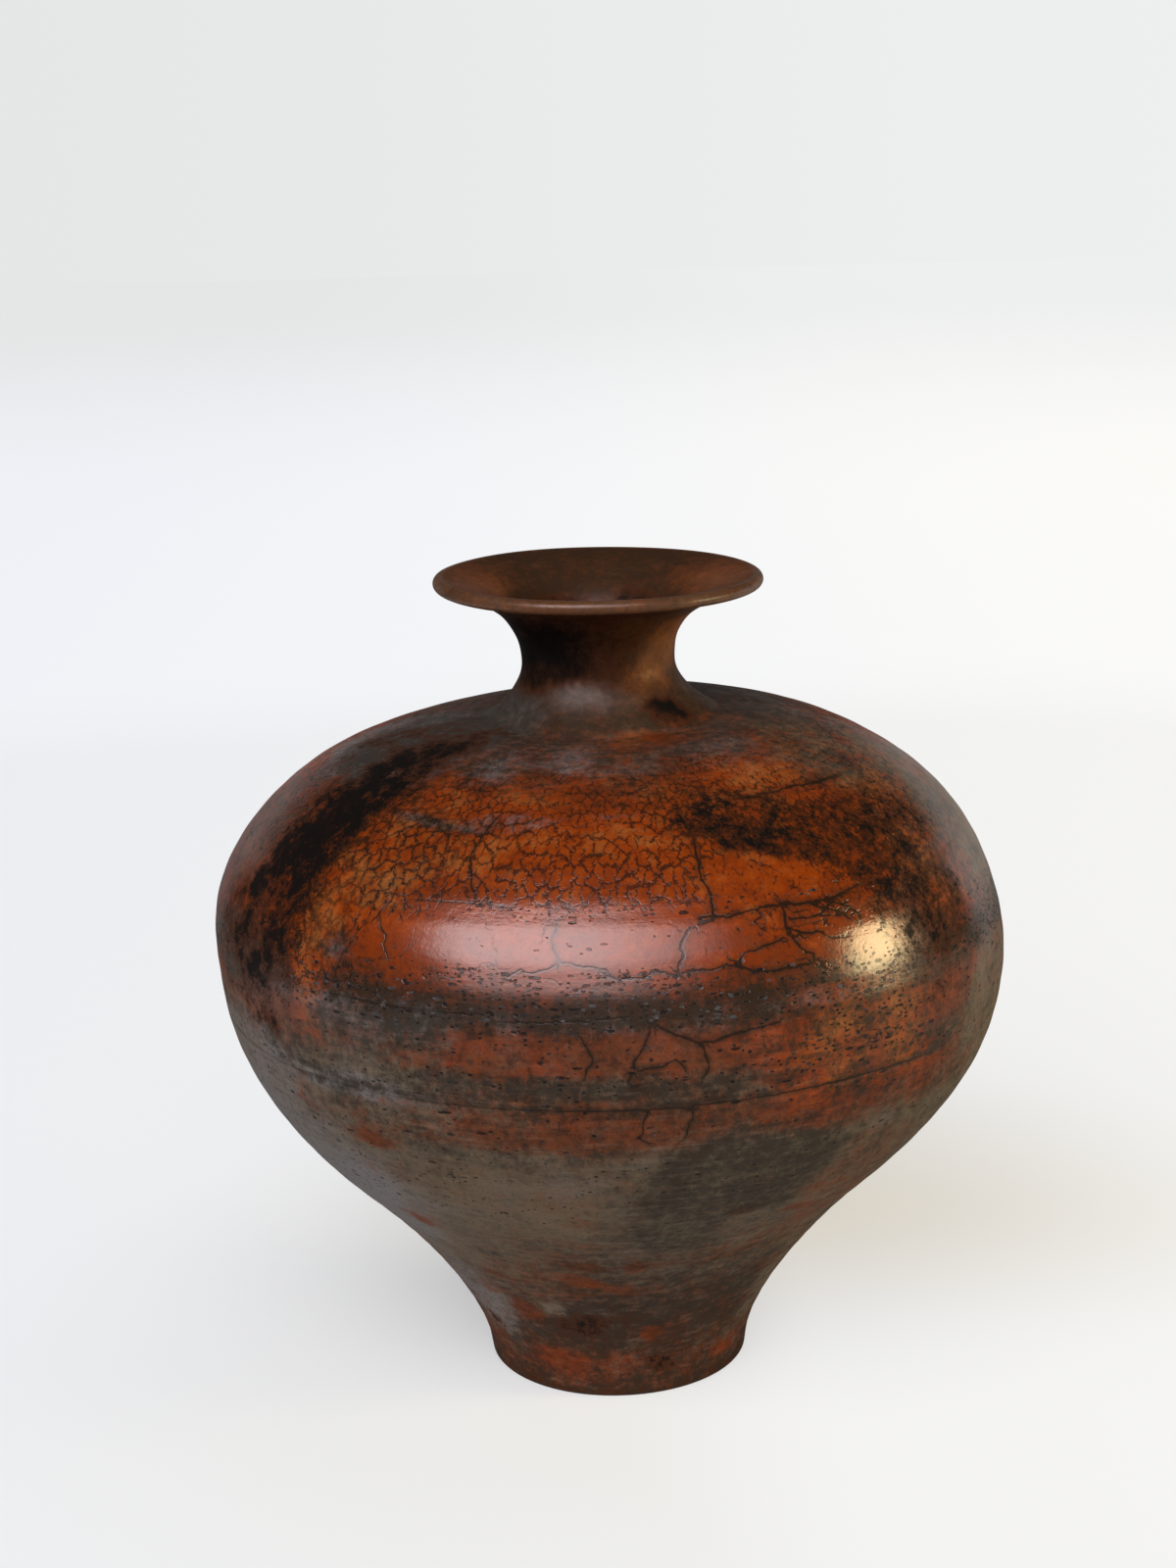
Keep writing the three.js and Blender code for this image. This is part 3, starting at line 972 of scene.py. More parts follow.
    Mark(Layer.DUSK, 12, 0.029, 7, 0.008, 0.2, 0.9),
    Mark(Layer.COOL, -12, 0.034, 14, 0.014, 1.0, 0.9),
    Mark(Layer.DUSK, -11, 0.034, 14, 0.013, 1.1, 0.9),
    Mark(Layer.HAZE_AND_SHEEN, -11, 0.034, 14, 0.013, 0.6, 0.9),
    Mark(Layer.CHAR_AND_SHADE, -11, 0.033, 17, 0.012, 0.66, 1.0),
    Mark(Layer.DUSK, -11, 0.033, 20, 0.014, 1.1, 0.9),
    Mark(Layer.DUSK, 10, 0.040, 30, 0.016, 0.95, 1.0),
    Mark(Layer.CHAR_AND_SHADE, -60, 0.024, 11, 0.008, 0.4, 0.9),
    Mark(Layer.DUSK, 34, 0.036, 16, 0.024, 0.9, 0.7),
    # A painted sheen: the pale greenish-grey spot on the flare.
    Mark(Layer.COOL, -23, 0.040, 8, 0.007, 0.3, 1.0),
    Mark(Layer.HAZE_AND_SHEEN, -23, 0.040, 8, 0.007, 1.1, 1.0),
    Mark(Layer.DUSK, -23, 0.040, 8, 0.007, 0.05, 1.0),
    Mark(Layer.DUSK, -23, 0.0130, 23, 0.0075, 0.30, 1.0),
    Mark(Layer.HAZE_AND_SHEEN, -23, 0.0130, 23, 0.0075, 0.10, 1.0),
    Mark(Layer.DUSK, 1, 0.0125, 8, 0.005, 0.35, 0.8),
    Mark(Layer.CHAR_AND_SHADE, 18, 0.014, 9, 0.005, 0.55, 0.9),
    Mark(Layer.DUSK, 50, 0.0115, 10, 0.004, 0.1, 0.8),
    Mark(Layer.HAZE_AND_SHEEN, 50, 0.0115, 10, 0.004, 0.05, 0.8),
    # Neck: black to the left, ochre to the right, where the ochre partly paints the lamp's warm light and
    # reflection; a painted window reflection low on the front
    Mark(Layer.CHAR_AND_SHADE, -50, 0.267, 92, 0.020, 1.0, 0.8),
    Mark(Layer.CHAR_AND_SHADE, -50, 0.2575, 60, 0.006, 0.8, 0.9),
    # The ochre here partly paints the lamp's warm light and its reflection on the neck's right.
    Mark(Layer.CHAR_AND_SHADE, 66, 0.268, 50, 0.022, 0.0, 1.0),
    Mark(Layer.DUSK, 66, 0.270, 44, 0.018, 0.55, 1.0),
    Mark(Layer.DUSK, 44, 0.259, 38, 0.010, 0.40, 1.0),
    Mark(Layer.GLOW, 46, 0.262, 40, 0.016, 0.92, 0.9),
    Mark(Layer.HAZE_AND_SHEEN, 50, 0.262, 40, 0.016, 0.0, 0.9),
    Mark(Layer.DUSK, 34, 0.2495, 30, 0.005, 0.70, 0.9),
    # A painted reflection of the window: the blue-grey sheen low on the neck's front.
    Mark(Layer.HAZE_AND_SHEEN, -14, 0.2530, 36, 0.0060, 0.7, 1.0),
    Mark(Layer.DUSK, -14, 0.2530, 34, 0.0055, 0.65, 1.0),
    Mark(Layer.CHAR_AND_SHADE, -16, 0.2530, 30, 0.0060, 0.05, 0.8),
    # A painted sheen: the blue-grey film at the neck's root.
    Mark(Layer.HAZE_AND_SHEEN, 5, 0.2450, 60, 0.0040, 0.45, 0.8),
    Mark(Layer.COOL, 5, 0.2450, 60, 0.0040, 0.35, 0.8),
    Mark(Layer.DUSK, -60, 0.248, 34, 0.006, 0.9, 0.6),
    Mark(Layer.HAZE_AND_SHEEN, -60, 0.247, 38, 0.008, 0.9, 0.8),
    Mark(Layer.COOL, -60, 0.244, 40, 0.012, 0.8, 0.8),
    Mark(Layer.CHAR_AND_SHADE, 43, 0.2462, 19, 0.0054, 0.98, 0.9),
    Mark(Layer.DUSK, 40, 0.2460, 26, 0.0070, 0.95, 1.0),
    Mark(Layer.DUSK, 44, 0.2440, 16, 0.0016, 0.62, 0.9),
    # The side that the photograph doesn't show, in the same manner
    Mark(Layer.CHAR_AND_SHADE, 112, 0.200, 13, 0.030, 0.66, 0.6, 0.0004),
    Mark(Layer.CHAR_AND_SHADE, 172, 0.200, 13, 0.030, 0.70, 0.6, -0.0003),
    Mark(Layer.CHAR_AND_SHADE, 186, 0.216, 13, 0.016, 1.1, 0.5, -0.0004),
    Mark(Layer.CHAR_AND_SHADE, -122, 0.214, 15, 0.014, 0.62, 0.6, 0.0005),
    Mark(Layer.GLOW, 140, 0.212, 16, 0.016, 0.75, 0.7),
    Mark(Layer.GLOW, -145, 0.205, 14, 0.020, 0.7, 0.7),
    Mark(Layer.CRAZE, -150, 0.212, 20, 0.018, 1.0, 0.5),
    Mark(Layer.CRAZE, 140, 0.214, 14, 0.014, 0.9, 0.5),
    Mark(Layer.HAZE_AND_SHEEN, 150, 0.140, 40, 0.018, 0.85, 0.6),
    Mark(Layer.HAZE_AND_SHEEN, -112, 0.160, 24, 0.024, 0.8, 0.6),
    Mark(Layer.DUSK, -160, 0.100, 30, 0.030, 0.85, 0.3),
    Mark(Layer.DUSK, 110, 0.095, 24, 0.026, 0.8, 0.3),
    Mark(Layer.DUSK, 150, 0.095, 14, 0.024, 0.2, 0.5),
    Mark(Layer.HAZE_AND_SHEEN, 175, 0.055, 14, 0.008, 0.05, 0.9),
    Mark(Layer.HAZE_AND_SHEEN, -120, 0.0130, 30, 0.007, 0.05, 0.7),
    Mark(Layer.DUSK, -120, 0.0130, 30, 0.007, 0.15, 0.7),
    Mark(Layer.CHAR_AND_SHADE, -165, 0.266, 34, 0.014, 0.75, 0.6),
    # Inside of the rim: copper brown, black in the throat with painted shade, a painted blue reflection of
    # the window at its back and painted sheen to the left and right
    # Black down the throat: soot, with painted shade deepening into the neck.
    Mark(Layer.CHAR_AND_SHADE, 0, 0.256, 400, 0.0255, 1.15, 0.4, side=Side.INSIDE),
    # A painted reflection of the window at the back of the throat, as a blue-grey film.
    Mark(Layer.HAZE_AND_SHEEN, 180, 0.272, 44, 0.009, 0.9, 0.9, side=Side.INSIDE),
    Mark(Layer.DUSK, 180, 0.272, 44, 0.009, 0.6, 0.9, side=Side.INSIDE),
    Mark(Layer.COOL, 180, 0.272, 60, 0.010, 1.5, 0.9, side=Side.INSIDE),
    Mark(Layer.CHAR_AND_SHADE, 150, 0.274, 22, 0.010, 0.85, 0.9, side=Side.INSIDE),
    Mark(Layer.DUSK, 0, 0.2900, 130, 0.0070, 0.60, 1.0, side=Side.INSIDE),
    Mark(Layer.HAZE_AND_SHEEN, 0, 0.2900, 130, 0.0070, 0.35, 1.0, side=Side.INSIDE),
    # Painted sheen on the inside of the rim, to the left and the right.
    Mark(Layer.HAZE_AND_SHEEN, -90, 0.2860, 60, 0.0085, 0.4, 1.0, side=Side.INSIDE),
    Mark(Layer.DUSK, -90, 0.2860, 60, 0.0085, 0.5, 1.0, side=Side.INSIDE),
    Mark(Layer.CHAR_AND_SHADE, -90, 0.2860, 60, 0.0085, 0.0, 1.0, side=Side.INSIDE),
    Mark(Layer.HAZE_AND_SHEEN, 92, 0.2860, 60, 0.0085, 0.4, 1.0, side=Side.INSIDE),
    Mark(Layer.DUSK, 92, 0.2860, 60, 0.0085, 0.5, 1.0, side=Side.INSIDE),
    Mark(Layer.CHAR_AND_SHADE, 92, 0.2860, 60, 0.0085, 0.0, 1.0, side=Side.INSIDE),
)
"""The patches, in the order in which they are painted."""

RIFTS: tuple[Rift, ...] = (
    Rift(((14.5, 0.229), (15.5, 0.222), (14.8, 0.214), (15.8, 0.207), (15, 0.202), (13, 0.200)), 1.3),
    Rift(((13, 0.200), (11, 0.197), (10.6, 0.192), (9.6, 0.188), (9.5, 0.186)), 1.3),
    Rift(((13, 0.200), (18, 0.2013), (25, 0.2025), (33, 0.2015), (40, 0.2028)), 1.4),
    Rift(
        ((0, 0.1868), (5, 0.1860), (9.5, 0.1862), (14, 0.1870), (20, 0.1850), (26, 0.1842), (31, 0.1835)),
        1.2,
    ),
    Rift(((26, 0.203), (25.6, 0.197), (27, 0.190), (29, 0.185), (30.5, 0.182)), 1.5),
    Rift(((26.4, 0.1955), (31, 0.1935), (35, 0.190))),
    Rift(((26.4, 0.194), (23, 0.1922), (19, 0.1905), (17, 0.189)), 0.8),
    Rift(((27, 0.198), (32, 0.1975), (37, 0.1958)), 0.9),
    Rift(((30, 0.2015), (34, 0.1985), (36.5, 0.1945)), 1.1),
    Rift(((-7, 0.201), (-7.2, 0.195), (-6.6, 0.1905), (-3, 0.1896), (0, 0.1886))),
    Rift(((-6.6, 0.1905), (-10, 0.1877), (-13, 0.1866)), 0.8),
    Rift(((5, 0.173), (8, 0.1685), (11, 0.165), (16, 0.1668), (22, 0.1685)), 1.1),
    Rift(((11, 0.165), (11.8, 0.160), (11.2, 0.153))),
    Rift(((5, 0.170), (3.4, 0.163), (2.2, 0.157), (2.6, 0.152))),
    Rift(((2.2, 0.157), (6, 0.158), (9, 0.1565)), 0.8),
    Rift(((-4, 0.168), (-2.5, 0.161), (-4, 0.155)), 0.8),
    Rift(((9, 0.143), (9.6, 0.138), (8.8, 0.132)), 0.9),
    Rift(((4, 0.142), (3.4, 0.136), (4, 0.131)), 0.8),
    Rift(((-33, 0.208), (-34.5, 0.201), (-32, 0.195), (-31, 0.189)), 0.7),
    Rift(((-21, 0.227), (-22.5, 0.220), (-21.5, 0.214), (-20, 0.209)), 1.0),
    Rift(((-75, 0.1440), (-45, 0.1432), (-15, 0.1436), (15, 0.1440), (52, 0.1437)), 0.9, 0.0004),
    Rift(((-40, 0.1745), (-28, 0.1743), (-17, 0.1746)), 1.0, 0.0003),
    Rift(((-14, 0.1727), (-6, 0.1733), (2, 0.1745)), 1.0, 0.0003),
    Rift(((28, 0.2290), (40, 0.2292), (56, 0.2284)), 2.0, 0.0006),
    Rift(((-29, 0.2058), (-22, 0.2064), (-14, 0.2060)), 0.5, 0.0004),
    Rift(((33, 0.2015), (36, 0.1990), (38.5, 0.1950), (38, 0.1925)), 0.9),
    Rift(((22, 0.2018), (21, 0.1985), (22.5, 0.1960)), 0.7),
)
"""The long cracks and scores that stand out by themselves."""


@dataclass(frozen=True)
class FireMap:
    """Paints the layers and the long cracks on a piece."""

    wall: Wall
    edge_wander: float = 0.0022  # how far a patch's edge strays from its even shape
    far: float = 0.010  # a distance from a long crack beyond which nothing changes
    least_radius: float = 0.02  # keeps the wander in degrees within bounds near the axis
    jag_seed: int = 73
    wander_across: Ripples = Ripples(seed=31, most_turns=60, shortest=0.010, waves=60)
    wander_along: Ripples = Ripples(seed=47, most_turns=60, shortest=0.010, waves=60)

    def paint(
        self,
        mesh: bpy.types.Mesh,
        azimuth: np.ndarray,
        height: np.ndarray,
        arc: np.ndarray,
        inner: np.ndarray,
    ) -> None:
        """Writes the layers and the distance to the long cracks as attributes.

        Args:
            mesh: The piece's mesh.
            azimuth: The azimuth of each vertex, in radians.
            height: Its height.
            arc: Its length along the outside.
            inner: Whether it lies on the inside of the wall.
        """
        radii, heights = self.wall.faces[Side.OUTSIDE].T
        radius = np.maximum(np.interp(arc, self.wall.arc, radii), self.least_radius)
        stray_azimuth = azimuth + self.edge_wander / radius * self.wander_across.at(azimuth, arc)
        stray_arc = arc + self.edge_wander * self.wander_along.at(azimuth, arc)
        straight, strayed = (np.interp(lengths, self.wall.arc, heights) for lengths in (arc, stray_arc))
        stray_height = height + strayed - straight
        degrees = np.degrees(stray_azimuth)
        for layer in Layer:
            levels, values = zip(*GROUNDS[layer])
            value = np.where(inner, INSIDE_GROUNDS[layer], np.interp(height, levels, values))
            for mark in (m for m in MARKS if m.layer is layer):
                here = inner if mark.side is Side.INSIDE else ~inner
                cover = mark.cover(degrees, stray_height) * here
                value += (mark.value - value) * cover
            self.write(mesh, layer.value, value)
        side, gap = self._nearest_rift(azimuth, arc, radius)
        self.write(mesh, "rift_side", side)
        self.write(mesh, "rift_gap", np.where(inner, self.far, gap))

    def _nearest_rift(
        self, azimuth: np.ndarray, arc: np.ndarray, radius: np.ndarray
    ) -> tuple[np.ndarray, np.ndarray]:
        """Measures how far each point lies from the nearest long crack.

        Args:
            azimuth: Azimuths in radians.
            arc: Lengths along the outside.
            radius: Distances from the axis.

        Returns:
            The distance with a sign for the crack's side, and the distance without. Both are divided by the
            crack's width, so that a wide crack is near over a wider strip.
        """
        draw = np.random.default_rng(self.jag_seed)
        side = np.full(len(azimuth), self.far)
        gap = np.full(len(azimuth), self.far)
        for rift in RIFTS:
            path = rift.path(self.wall, draw)
            reach = self.far * rift.width
            margin = np.array([reach / radius.min(), reach])
            low, high = path.min(axis=0) - margin, path.max(axis=0) + margin
            near = np.nonzero((azimuth > low[0]) & (azimuth < high[0]) & (arc > low[1]) & (arc < high[1]))[0]
            for (start_turn, start_arc), (end_turn, end_arc) in zip(path[:-1], path[1:]):
                run, rise = (end_turn - start_turn) * radius[near], end_arc - start_arc
                over, up = (azimuth[near] - start_turn) * radius[near], arc[near] - start_arc
                share = np.clip((over * run + up * rise) / (run**2 + rise**2), 0, 1)
                distance = np.hypot(over - share * run, up - share * rise) / rift.width
                nearer = distance < gap[near]
                signed = np.where(run * up - rise * over > 0, distance, -distance)
                side[near[nearer]] = signed[nearer]
                gap[near[nearer]] = distance[nearer]
        return side, gap

    @staticmethod
    def write(mesh: bpy.types.Mesh, name: str, values: np.ndarray) -> None:
        """Puts one value on each vertex under a name."""
        attribute = mesh.attributes.new(name, "FLOAT", "POINT")
        attribute.data.foreach_set("value", values.astype(np.float32))


# Finishes


def new_material(name: str) -> tuple[bpy.types.Material, NodeGraph]:
    """Makes an empty material.

    Args:
        name: Its name.

    Returns:
        The material and its graph.
    """
    material = bpy.data.materials.new(name)
    material.use_nodes = True
    return material, NodeGraph(material.node_tree)


@dataclass(frozen=True)
class Unevenness:
    """The uneven patterns that the slip shares among its colour, gloss and relief, each around 0."""

    cloud: Signal
    mottle: Signal
    drift: Signal
    waves: Signal
    grain: Signal
    speck: Signal
    soot: Signal
    dust: Signal
    streak: Signal
    wide_streak: Signal

    @classmethod
    def of_slip(cls, graph: NodeGraph, place: Signal, turned: Signal) -> "Unevenness":
        """Adds the patterns of a slip that was brushed on a turning pot.

        Args:
            graph: The material's graph.
            place: The object's coordinates.
            turned: The turned coordinates.

        Returns:
            The patterns.
        """
        mottle, drift, waves = graph.unevens(place, 0.012, 6, 0.70)
        grain, speck, _ = graph.unevens(place, 0.0030, 4, 0.72)
        return cls(
            cloud=graph.uneven(place, 0.030, 3),
            mottle=mottle,
            drift=drift,
            waves=waves,
            grain=grain,
            speck=speck,
            soot=graph.uneven(place, 0.0050, 5, 0.80),
            dust=graph.uneven(place, 0.0010, 2, 0.6),
            streak=graph.uneven(graph.vector("MULTIPLY", turned, (0.12, 0.12, 1.0)), 0.0022, 4, 0.65),
            wide_streak=graph.uneven(graph.vector("MULTIPLY", turned, (0.22, 0.22, 1.0)), 0.009, 5, 0.65),
        )


@dataclass(frozen=True)
class RakuSlip:
    """The burnished slip with all that the fire and smoke did to it, and with painted sheen, shade and warm
    light in places.
    """

    brick: Colour = srgb(100, 50, 25)
    orange: Colour = srgb(117, 44, 7)
    # The ochre also paints the lamp's warm light on the neck's right.
    bright_orange: Colour = srgb(137, 55, 8)
    ochre_and_warm_light: Colour = srgb(152, 89, 42)
    brown: Colour = srgb(40, 31, 22)
    # The soot colours also paint shade in the throat and under the lip.
    soot_and_shade_brown: Colour = srgb(64, 31, 12)
    soot_and_shade_black: Colour = srgb(13, 11, 10)
    # The film colours also serve for painted sheen and reflections.
    olive_film_and_sheen: Colour = srgb(98, 86, 71)
    blue_film_and_sheen: Colour = srgb(110, 108, 109)
    charcoal_film: Colour = srgb(47, 41, 35)
    scratch: Colour = srgb(138, 126, 112)
    crackle_line: Colour = srgb(30, 21, 14)
    pit_dark: Colour = srgb(22, 19, 18)
    pit_grey: Colour = srgb(74, 74, 78)
    smooth: float = 0.18  # roughness where the burnish is whole
    rough: float = 0.5
    burnish_ior: float = 1.68
    lustre: Colour = (1.0, 0.80, 0.82, 1.0)  # the copper's tint in the gloss
    matt_gloss: float = 0.08  # specular level where the burnish is gone
    matt_roughness: float = 0.85
    crack_depth: float = 0.035  # in millimetres, as the pits' depth
    pit_depth: float = 0.20
    fine_cell: tuple[float, float] = (0.0064, 0.0034)  # height and width, as of the next two
    round_cell: tuple[float, float] = (0.0052, 0.0046)
    wide_cell: tuple[float, float] = (0.030, 0.024)
    long_crack: float = 0.00028  # a long crack's usual width

    def material(self) -> bpy.types.Material:
        """Builds the material.

        Returns:
            The material, which reads the painted layers.
        """
        material, graph = new_material("raku slip")
        layers = {layer: graph.attribute(layer.value) for layer in Layer}
        place = graph.node("ShaderNodeTexCoord", output="Object")
        unrolled = graph.node("ShaderNodeUVMap", {"uv_map": UNROLLED})
        uneven = Unevenness.of_slip(graph, place, graph.attribute(TURNED, "Vector"))
        cracks, borders = self._crackle(graph, layers, unrolled, place)
        pits, pit_tone = self._pits(graph, layers, unrolled, uneven)

        vary = 1 - layers[Layer.CALM]
        colour = self._slip_colour(graph, layers, uneven, vary)
        brushed = uneven.streak * (layers[Layer.MATT] * 0.14 + 0.10)
        dusk = layers[Layer.DUSK] + (uneven.mottle * 0.34 + brushed + uneven.grain * 0.34) * vary
        dusk = dusk.rise(0.05, 1.05)
        colour = graph.blend(dusk * 0.95, colour, self.brown)
        torn = uneven.drift * 0.40 + uneven.wide_streak * 0.26 + uneven.speck * 0.32 + uneven.streak * 0.08
        # The grey film, which in places is painted sheen and reflection.
        haze_and_sheen = (layers[Layer.HAZE_AND_SHEEN] + torn * vary * layers[Layer.HAZE_AND_SHEEN].rise(0.0, 0.6)).rise(0.15, 0.95)
        colour = graph.blend(haze_and_sheen * 0.92, colour, self._film_colour(graph, layers, uneven, dusk))
        colour = graph.blend(self._grime(layers, uneven) * vary, colour, self.brown)
        scratched = (uneven.streak * -1.0 + uneven.dust * 0.4).rise(0.25, 0.80) * layers[Layer.MATT] * vary
        colour = graph.blend(scratched * 0.14, colour, self.scratch)
        shown = 1 - haze_and_sheen * 0.6
        colour = graph.blend(borders * shown * 0.55, colour, self.brown)
        colour = graph.blend(cracks * shown * 0.92, colour, self.crackle_line)
        colour = graph.blend(pits * 0.9, colour, graph.blend(pit_tone, self.pit_dark, self.pit_grey))
        clouds = uneven.waves * 0.60 + uneven.soot * 0.66 + uneven.dust * 0.20
        crept = (clouds * vary + cracks * 0.25) * layers[Layer.CHAR_AND_SHADE].rise(0.0, 0.4)
        # The smoke also lays painted shade in the throat and under the lip.
        smoke = layers[Layer.CHAR_AND_SHADE] + crept
        colour = graph.blend(smoke.rise(0.10, 0.55) * 0.85, colour, self.soot_and_shade_brown)
        colour = graph.blend(smoke.rise(0.40, 1.02) * 0.97, colour, self.soot_and_shade_black)

        dull = layers[Layer.MATT] + uneven.wide_streak * 0.10 + uneven.waves * 0.10 + uneven.speck * 0.06
        roughness = self.smooth + (self.rough - self.smooth) * dull.rise(0.0, 1.0)
        grazing = graph.node("ShaderNodeLayerWeight", {}, {"Blend": 0.5}, "Facing").rise(0.35, 0.95)
        bare = (1 - pits * 0.4) * (1 - smoke.rise(0.4, 0.9) * 0.8)
        burnish = (0.05 + dull.rise(0.8, 0.0) * 0.95) * bare * (1 - grazing * 0.8)

        skin = uneven.streak * 0.012 + uneven.wide_streak * 0.020 + uneven.waves * 0.024
        skin = skin + uneven.speck * 0.014 + uneven.dust * 0.005
        bump = graph.bump(skin - cracks * self.crack_depth - pits * self.pit_depth)
        matt = {
            "Base Color": colour,
            "Roughness": self.matt_roughness,
            "Specular IOR Level": self.matt_gloss,
            "Normal": bump,
        }
        burnished = {
            "Base Color": colour,
            "Roughness": roughness,
            "IOR": self.burnish_ior,
            "Specular Tint": self.lustre,
            "Normal": bump,
        }
        under = graph.node("ShaderNodeBsdfPrincipled", {}, matt)
        over = graph.node("ShaderNodeBsdfPrincipled", {}, burnished)
        both = graph.node("ShaderNodeMixShader", {}, {0: burnish, 1: under, 2: over})
        graph.node("ShaderNodeOutputMaterial", {}, {"Surface": both})
        return material

    def _slip_colour(
        self, graph: NodeGraph, layers: dict[Layer, Signal], uneven: Unevenness, vary: Signal
    ) -> Signal:
        """Gives the slip's own colour, which on the neck's right also paints the lamp's warm light.

        Args:
            graph: The material's graph.
            layers: The painted layers.
            uneven: The uneven patterns.
            vary: How much the tones vary.

        Returns:
            The colour, from brick red over orange to ochre.
        """
        shift = uneven.waves * 0.24 + uneven.wide_streak * 0.12 + uneven.grain * 0.14 + uneven.drift * 0.10
        hue = layers[Layer.GLOW] + shift * vary
        return graph.ramp(
            hue, [(0.18, self.brick), (0.45, self.orange), (0.62, self.bright_orange), (0.92, self.ochre_and_warm_light)]
        )

    @staticmethod
    def _grime(layers: dict[Layer, Signal], uneven: Unevenness) -> Signal:
        """Gives the dirt in the surface.

        Args:
            layers: The painted layers.
            uneven: The uneven patterns.

        Returns:
            How much the fine dust of soot and the turning scratches darken the surface.
        """
        dots = (uneven.dust + uneven.speck * 0.6).rise(0.10, 0.75)
        scratches = uneven.streak.rise(0.15, 0.70)
        return dots * (0.28 + layers[Layer.MATT] * 0.20) + scratches * layers[Layer.MATT] * 0.14

    def _film_colour(
        self, graph: NodeGraph, layers: dict[Layer, Signal], uneven: Unevenness, dusk: Signal
    ) -> Signal:
        """Gives the colour of the grey film, which in places is painted sheen and reflection.

        Args:
            graph: The material's graph.
            layers: The painted layers.
            uneven: The uneven patterns.
            dusk: How dark the surface is.

        Returns:
            The colour, between olive, blue-grey and charcoal.
        """
        tone = (layers[Layer.COOL] + uneven.cloud * 0.20 + uneven.grain * 0.12).rise(0.15, 0.85)
        film_and_sheen = graph.blend(tone, self.olive_film_and_sheen, self.blue_film_and_sheen)
        return graph.blend(dusk * 0.95, film_and_sheen, self.charcoal_film)

    def _crackle(
        self, graph: NodeGraph, layers: dict[Layer, Signal], unrolled: Signal, place: Signal
    ) -> tuple[Signal, Signal]:
        """Adds the crackle: fine upright cracks, rounder cells where it is densest, and the long cracks.

        Args:
            graph: The material's graph.
            layers: The painted layers.
            unrolled: The flat coordinates of the surface.
            place: The object's coordinates.

        Returns:
            The cracks, 1 at their middle, and the wide stains along the round cells' borders.
        """
        fray = graph.noise(unrolled, 0.0030, 4, 0.65).sibling("Color")
        sway = graph.noise(unrolled, 0.016, 2, 0.5).sibling("Color")
        frayed = graph.vector("MULTIPLY_ADD", fray, (0.0065, 0.0065, 0.0), unrolled)
        swayed = graph.vector("MULTIPLY_ADD", sway, (0.0120, 0.0120, 0.0), frayed)
        breaks = graph.uneven(place, 0.0036, 3, 0.7)
        gaps = graph.uneven(place, 0.022, 2, 0.5)

        round_cells = layers[Layer.CRAZE].rise(0.7, 1.0)
        fine = self._lines(graph, frayed, self.fine_cell, 0.04, 0.17)
        crazed = (layers[Layer.CRAZE] + breaks * 0.60 + gaps * 0.25).rise(0.20, 0.70)
        fine = fine * crazed * (1 - round_cells * 0.7)
        cells = self._lines(graph, frayed, self.round_cell, 0.02, 0.12)
        cells = cells * (round_cells + breaks * 0.35).rise(0.1, 0.6) * round_cells
        stains = self._lines(graph, frayed, self.round_cell, 0.06, 0.34) * round_cells
        wide = self._lines(graph, swayed, self.wide_cell, 0.006, 0.018)
        wide = wide * (layers[Layer.CRACK] + breaks * 0.35 + gaps * 0.35).rise(0.35, 0.85)

        stray = graph.uneven(place, 0.0028, 2) * 0.0004
        width = (breaks * 0.5 + 1.0) * self.long_crack
        astray = abs(graph.attribute("rift_side") + stray)
        long = astray.rise(width + 0.00030, width * 0.5) * graph.attribute("rift_gap").rise(0.0022, 0.0014)
        smoked = astray.rise(0.0020, 0.0004) * graph.attribute("rift_gap").rise(0.0040, 0.0022)
        stains = (stains * (0.8 + breaks)).most(smoked * (0.75 + breaks * 0.6))
        return (fine * 0.9).most(cells * 0.9).most(wide * 0.8).most(long), stains

    @staticmethod
    def _lines(
        graph: NodeGraph, place: Signal, size: tuple[float, float], core: float, edge: float
    ) -> Signal:
        """Draws the borders of cells.

        Args:
            graph: The material's graph.
            place: Where the cells are looked up.
            size: A cell's height and width.
            core: The half width of a border's dark core, in cells.
            edge: The half width of the whole border, in cells.

        Returns:
            The borders, 1 at the core.
        """
        tall, broad = size
        squeezed = graph.vector("MULTIPLY", place, (1.0, broad / tall, 1.0))
        return graph.cells(squeezed, broad, "DISTANCE_TO_EDGE").rise(edge, core)

    @staticmethod
    def _pits(
        graph: NodeGraph, layers: dict[Layer, Signal], unrolled: Signal, uneven: Unevenness
    ) -> tuple[Signal, Signal]:
        """Adds the pits and the short drag marks of the turning tool.

        Args:
            graph: The material's graph.
            layers: The painted layers.
            unrolled: The flat coordinates of the surface.
            uneven: The uneven patterns.

        Returns:
            Where a pit is, and how grey its floor is.
        """
        fray = graph.noise(unrolled, 0.0009, 2, 0.6).sibling("Color")
        frayed = graph.vector("MULTIPLY_ADD", fray, (0.0012, 0.0007, 0.0), unrolled)
        kinds = ((0.0020, 0.0012, 0.75, 1.0), (0.0046, 0.0014, 0.45, 1.0), (0.0062, 0.0050, 0.30, 0.34))
        total = None
        tone = None
        for broad, tall, share, breadth in kinds:
            squeezed = graph.vector("MULTIPLY", frayed, (1.0, broad / tall, 1.0))
            distance = graph.cells(squeezed, broad)
            draw = graph.node("ShaderNodeSeparateColor", {}, {"Color": distance.sibling("Color")})
            dragged = uneven.streak * 0.5 + uneven.waves * 0.9 + 1.0
            there = (layers[Layer.PITS] * share * dragged - draw).rise(0.0, 0.03)
            size = (0.08 + draw.sibling("Green") * 0.20) * breadth
            pit = distance.rise(size + 0.09, size) * there
            tone = draw.sibling("Blue") if tone is None else tone
            total = pit if total is None else total.most(pit)
        return total, tone.rise(0.60, 1.0) * layers[Layer.COOL]


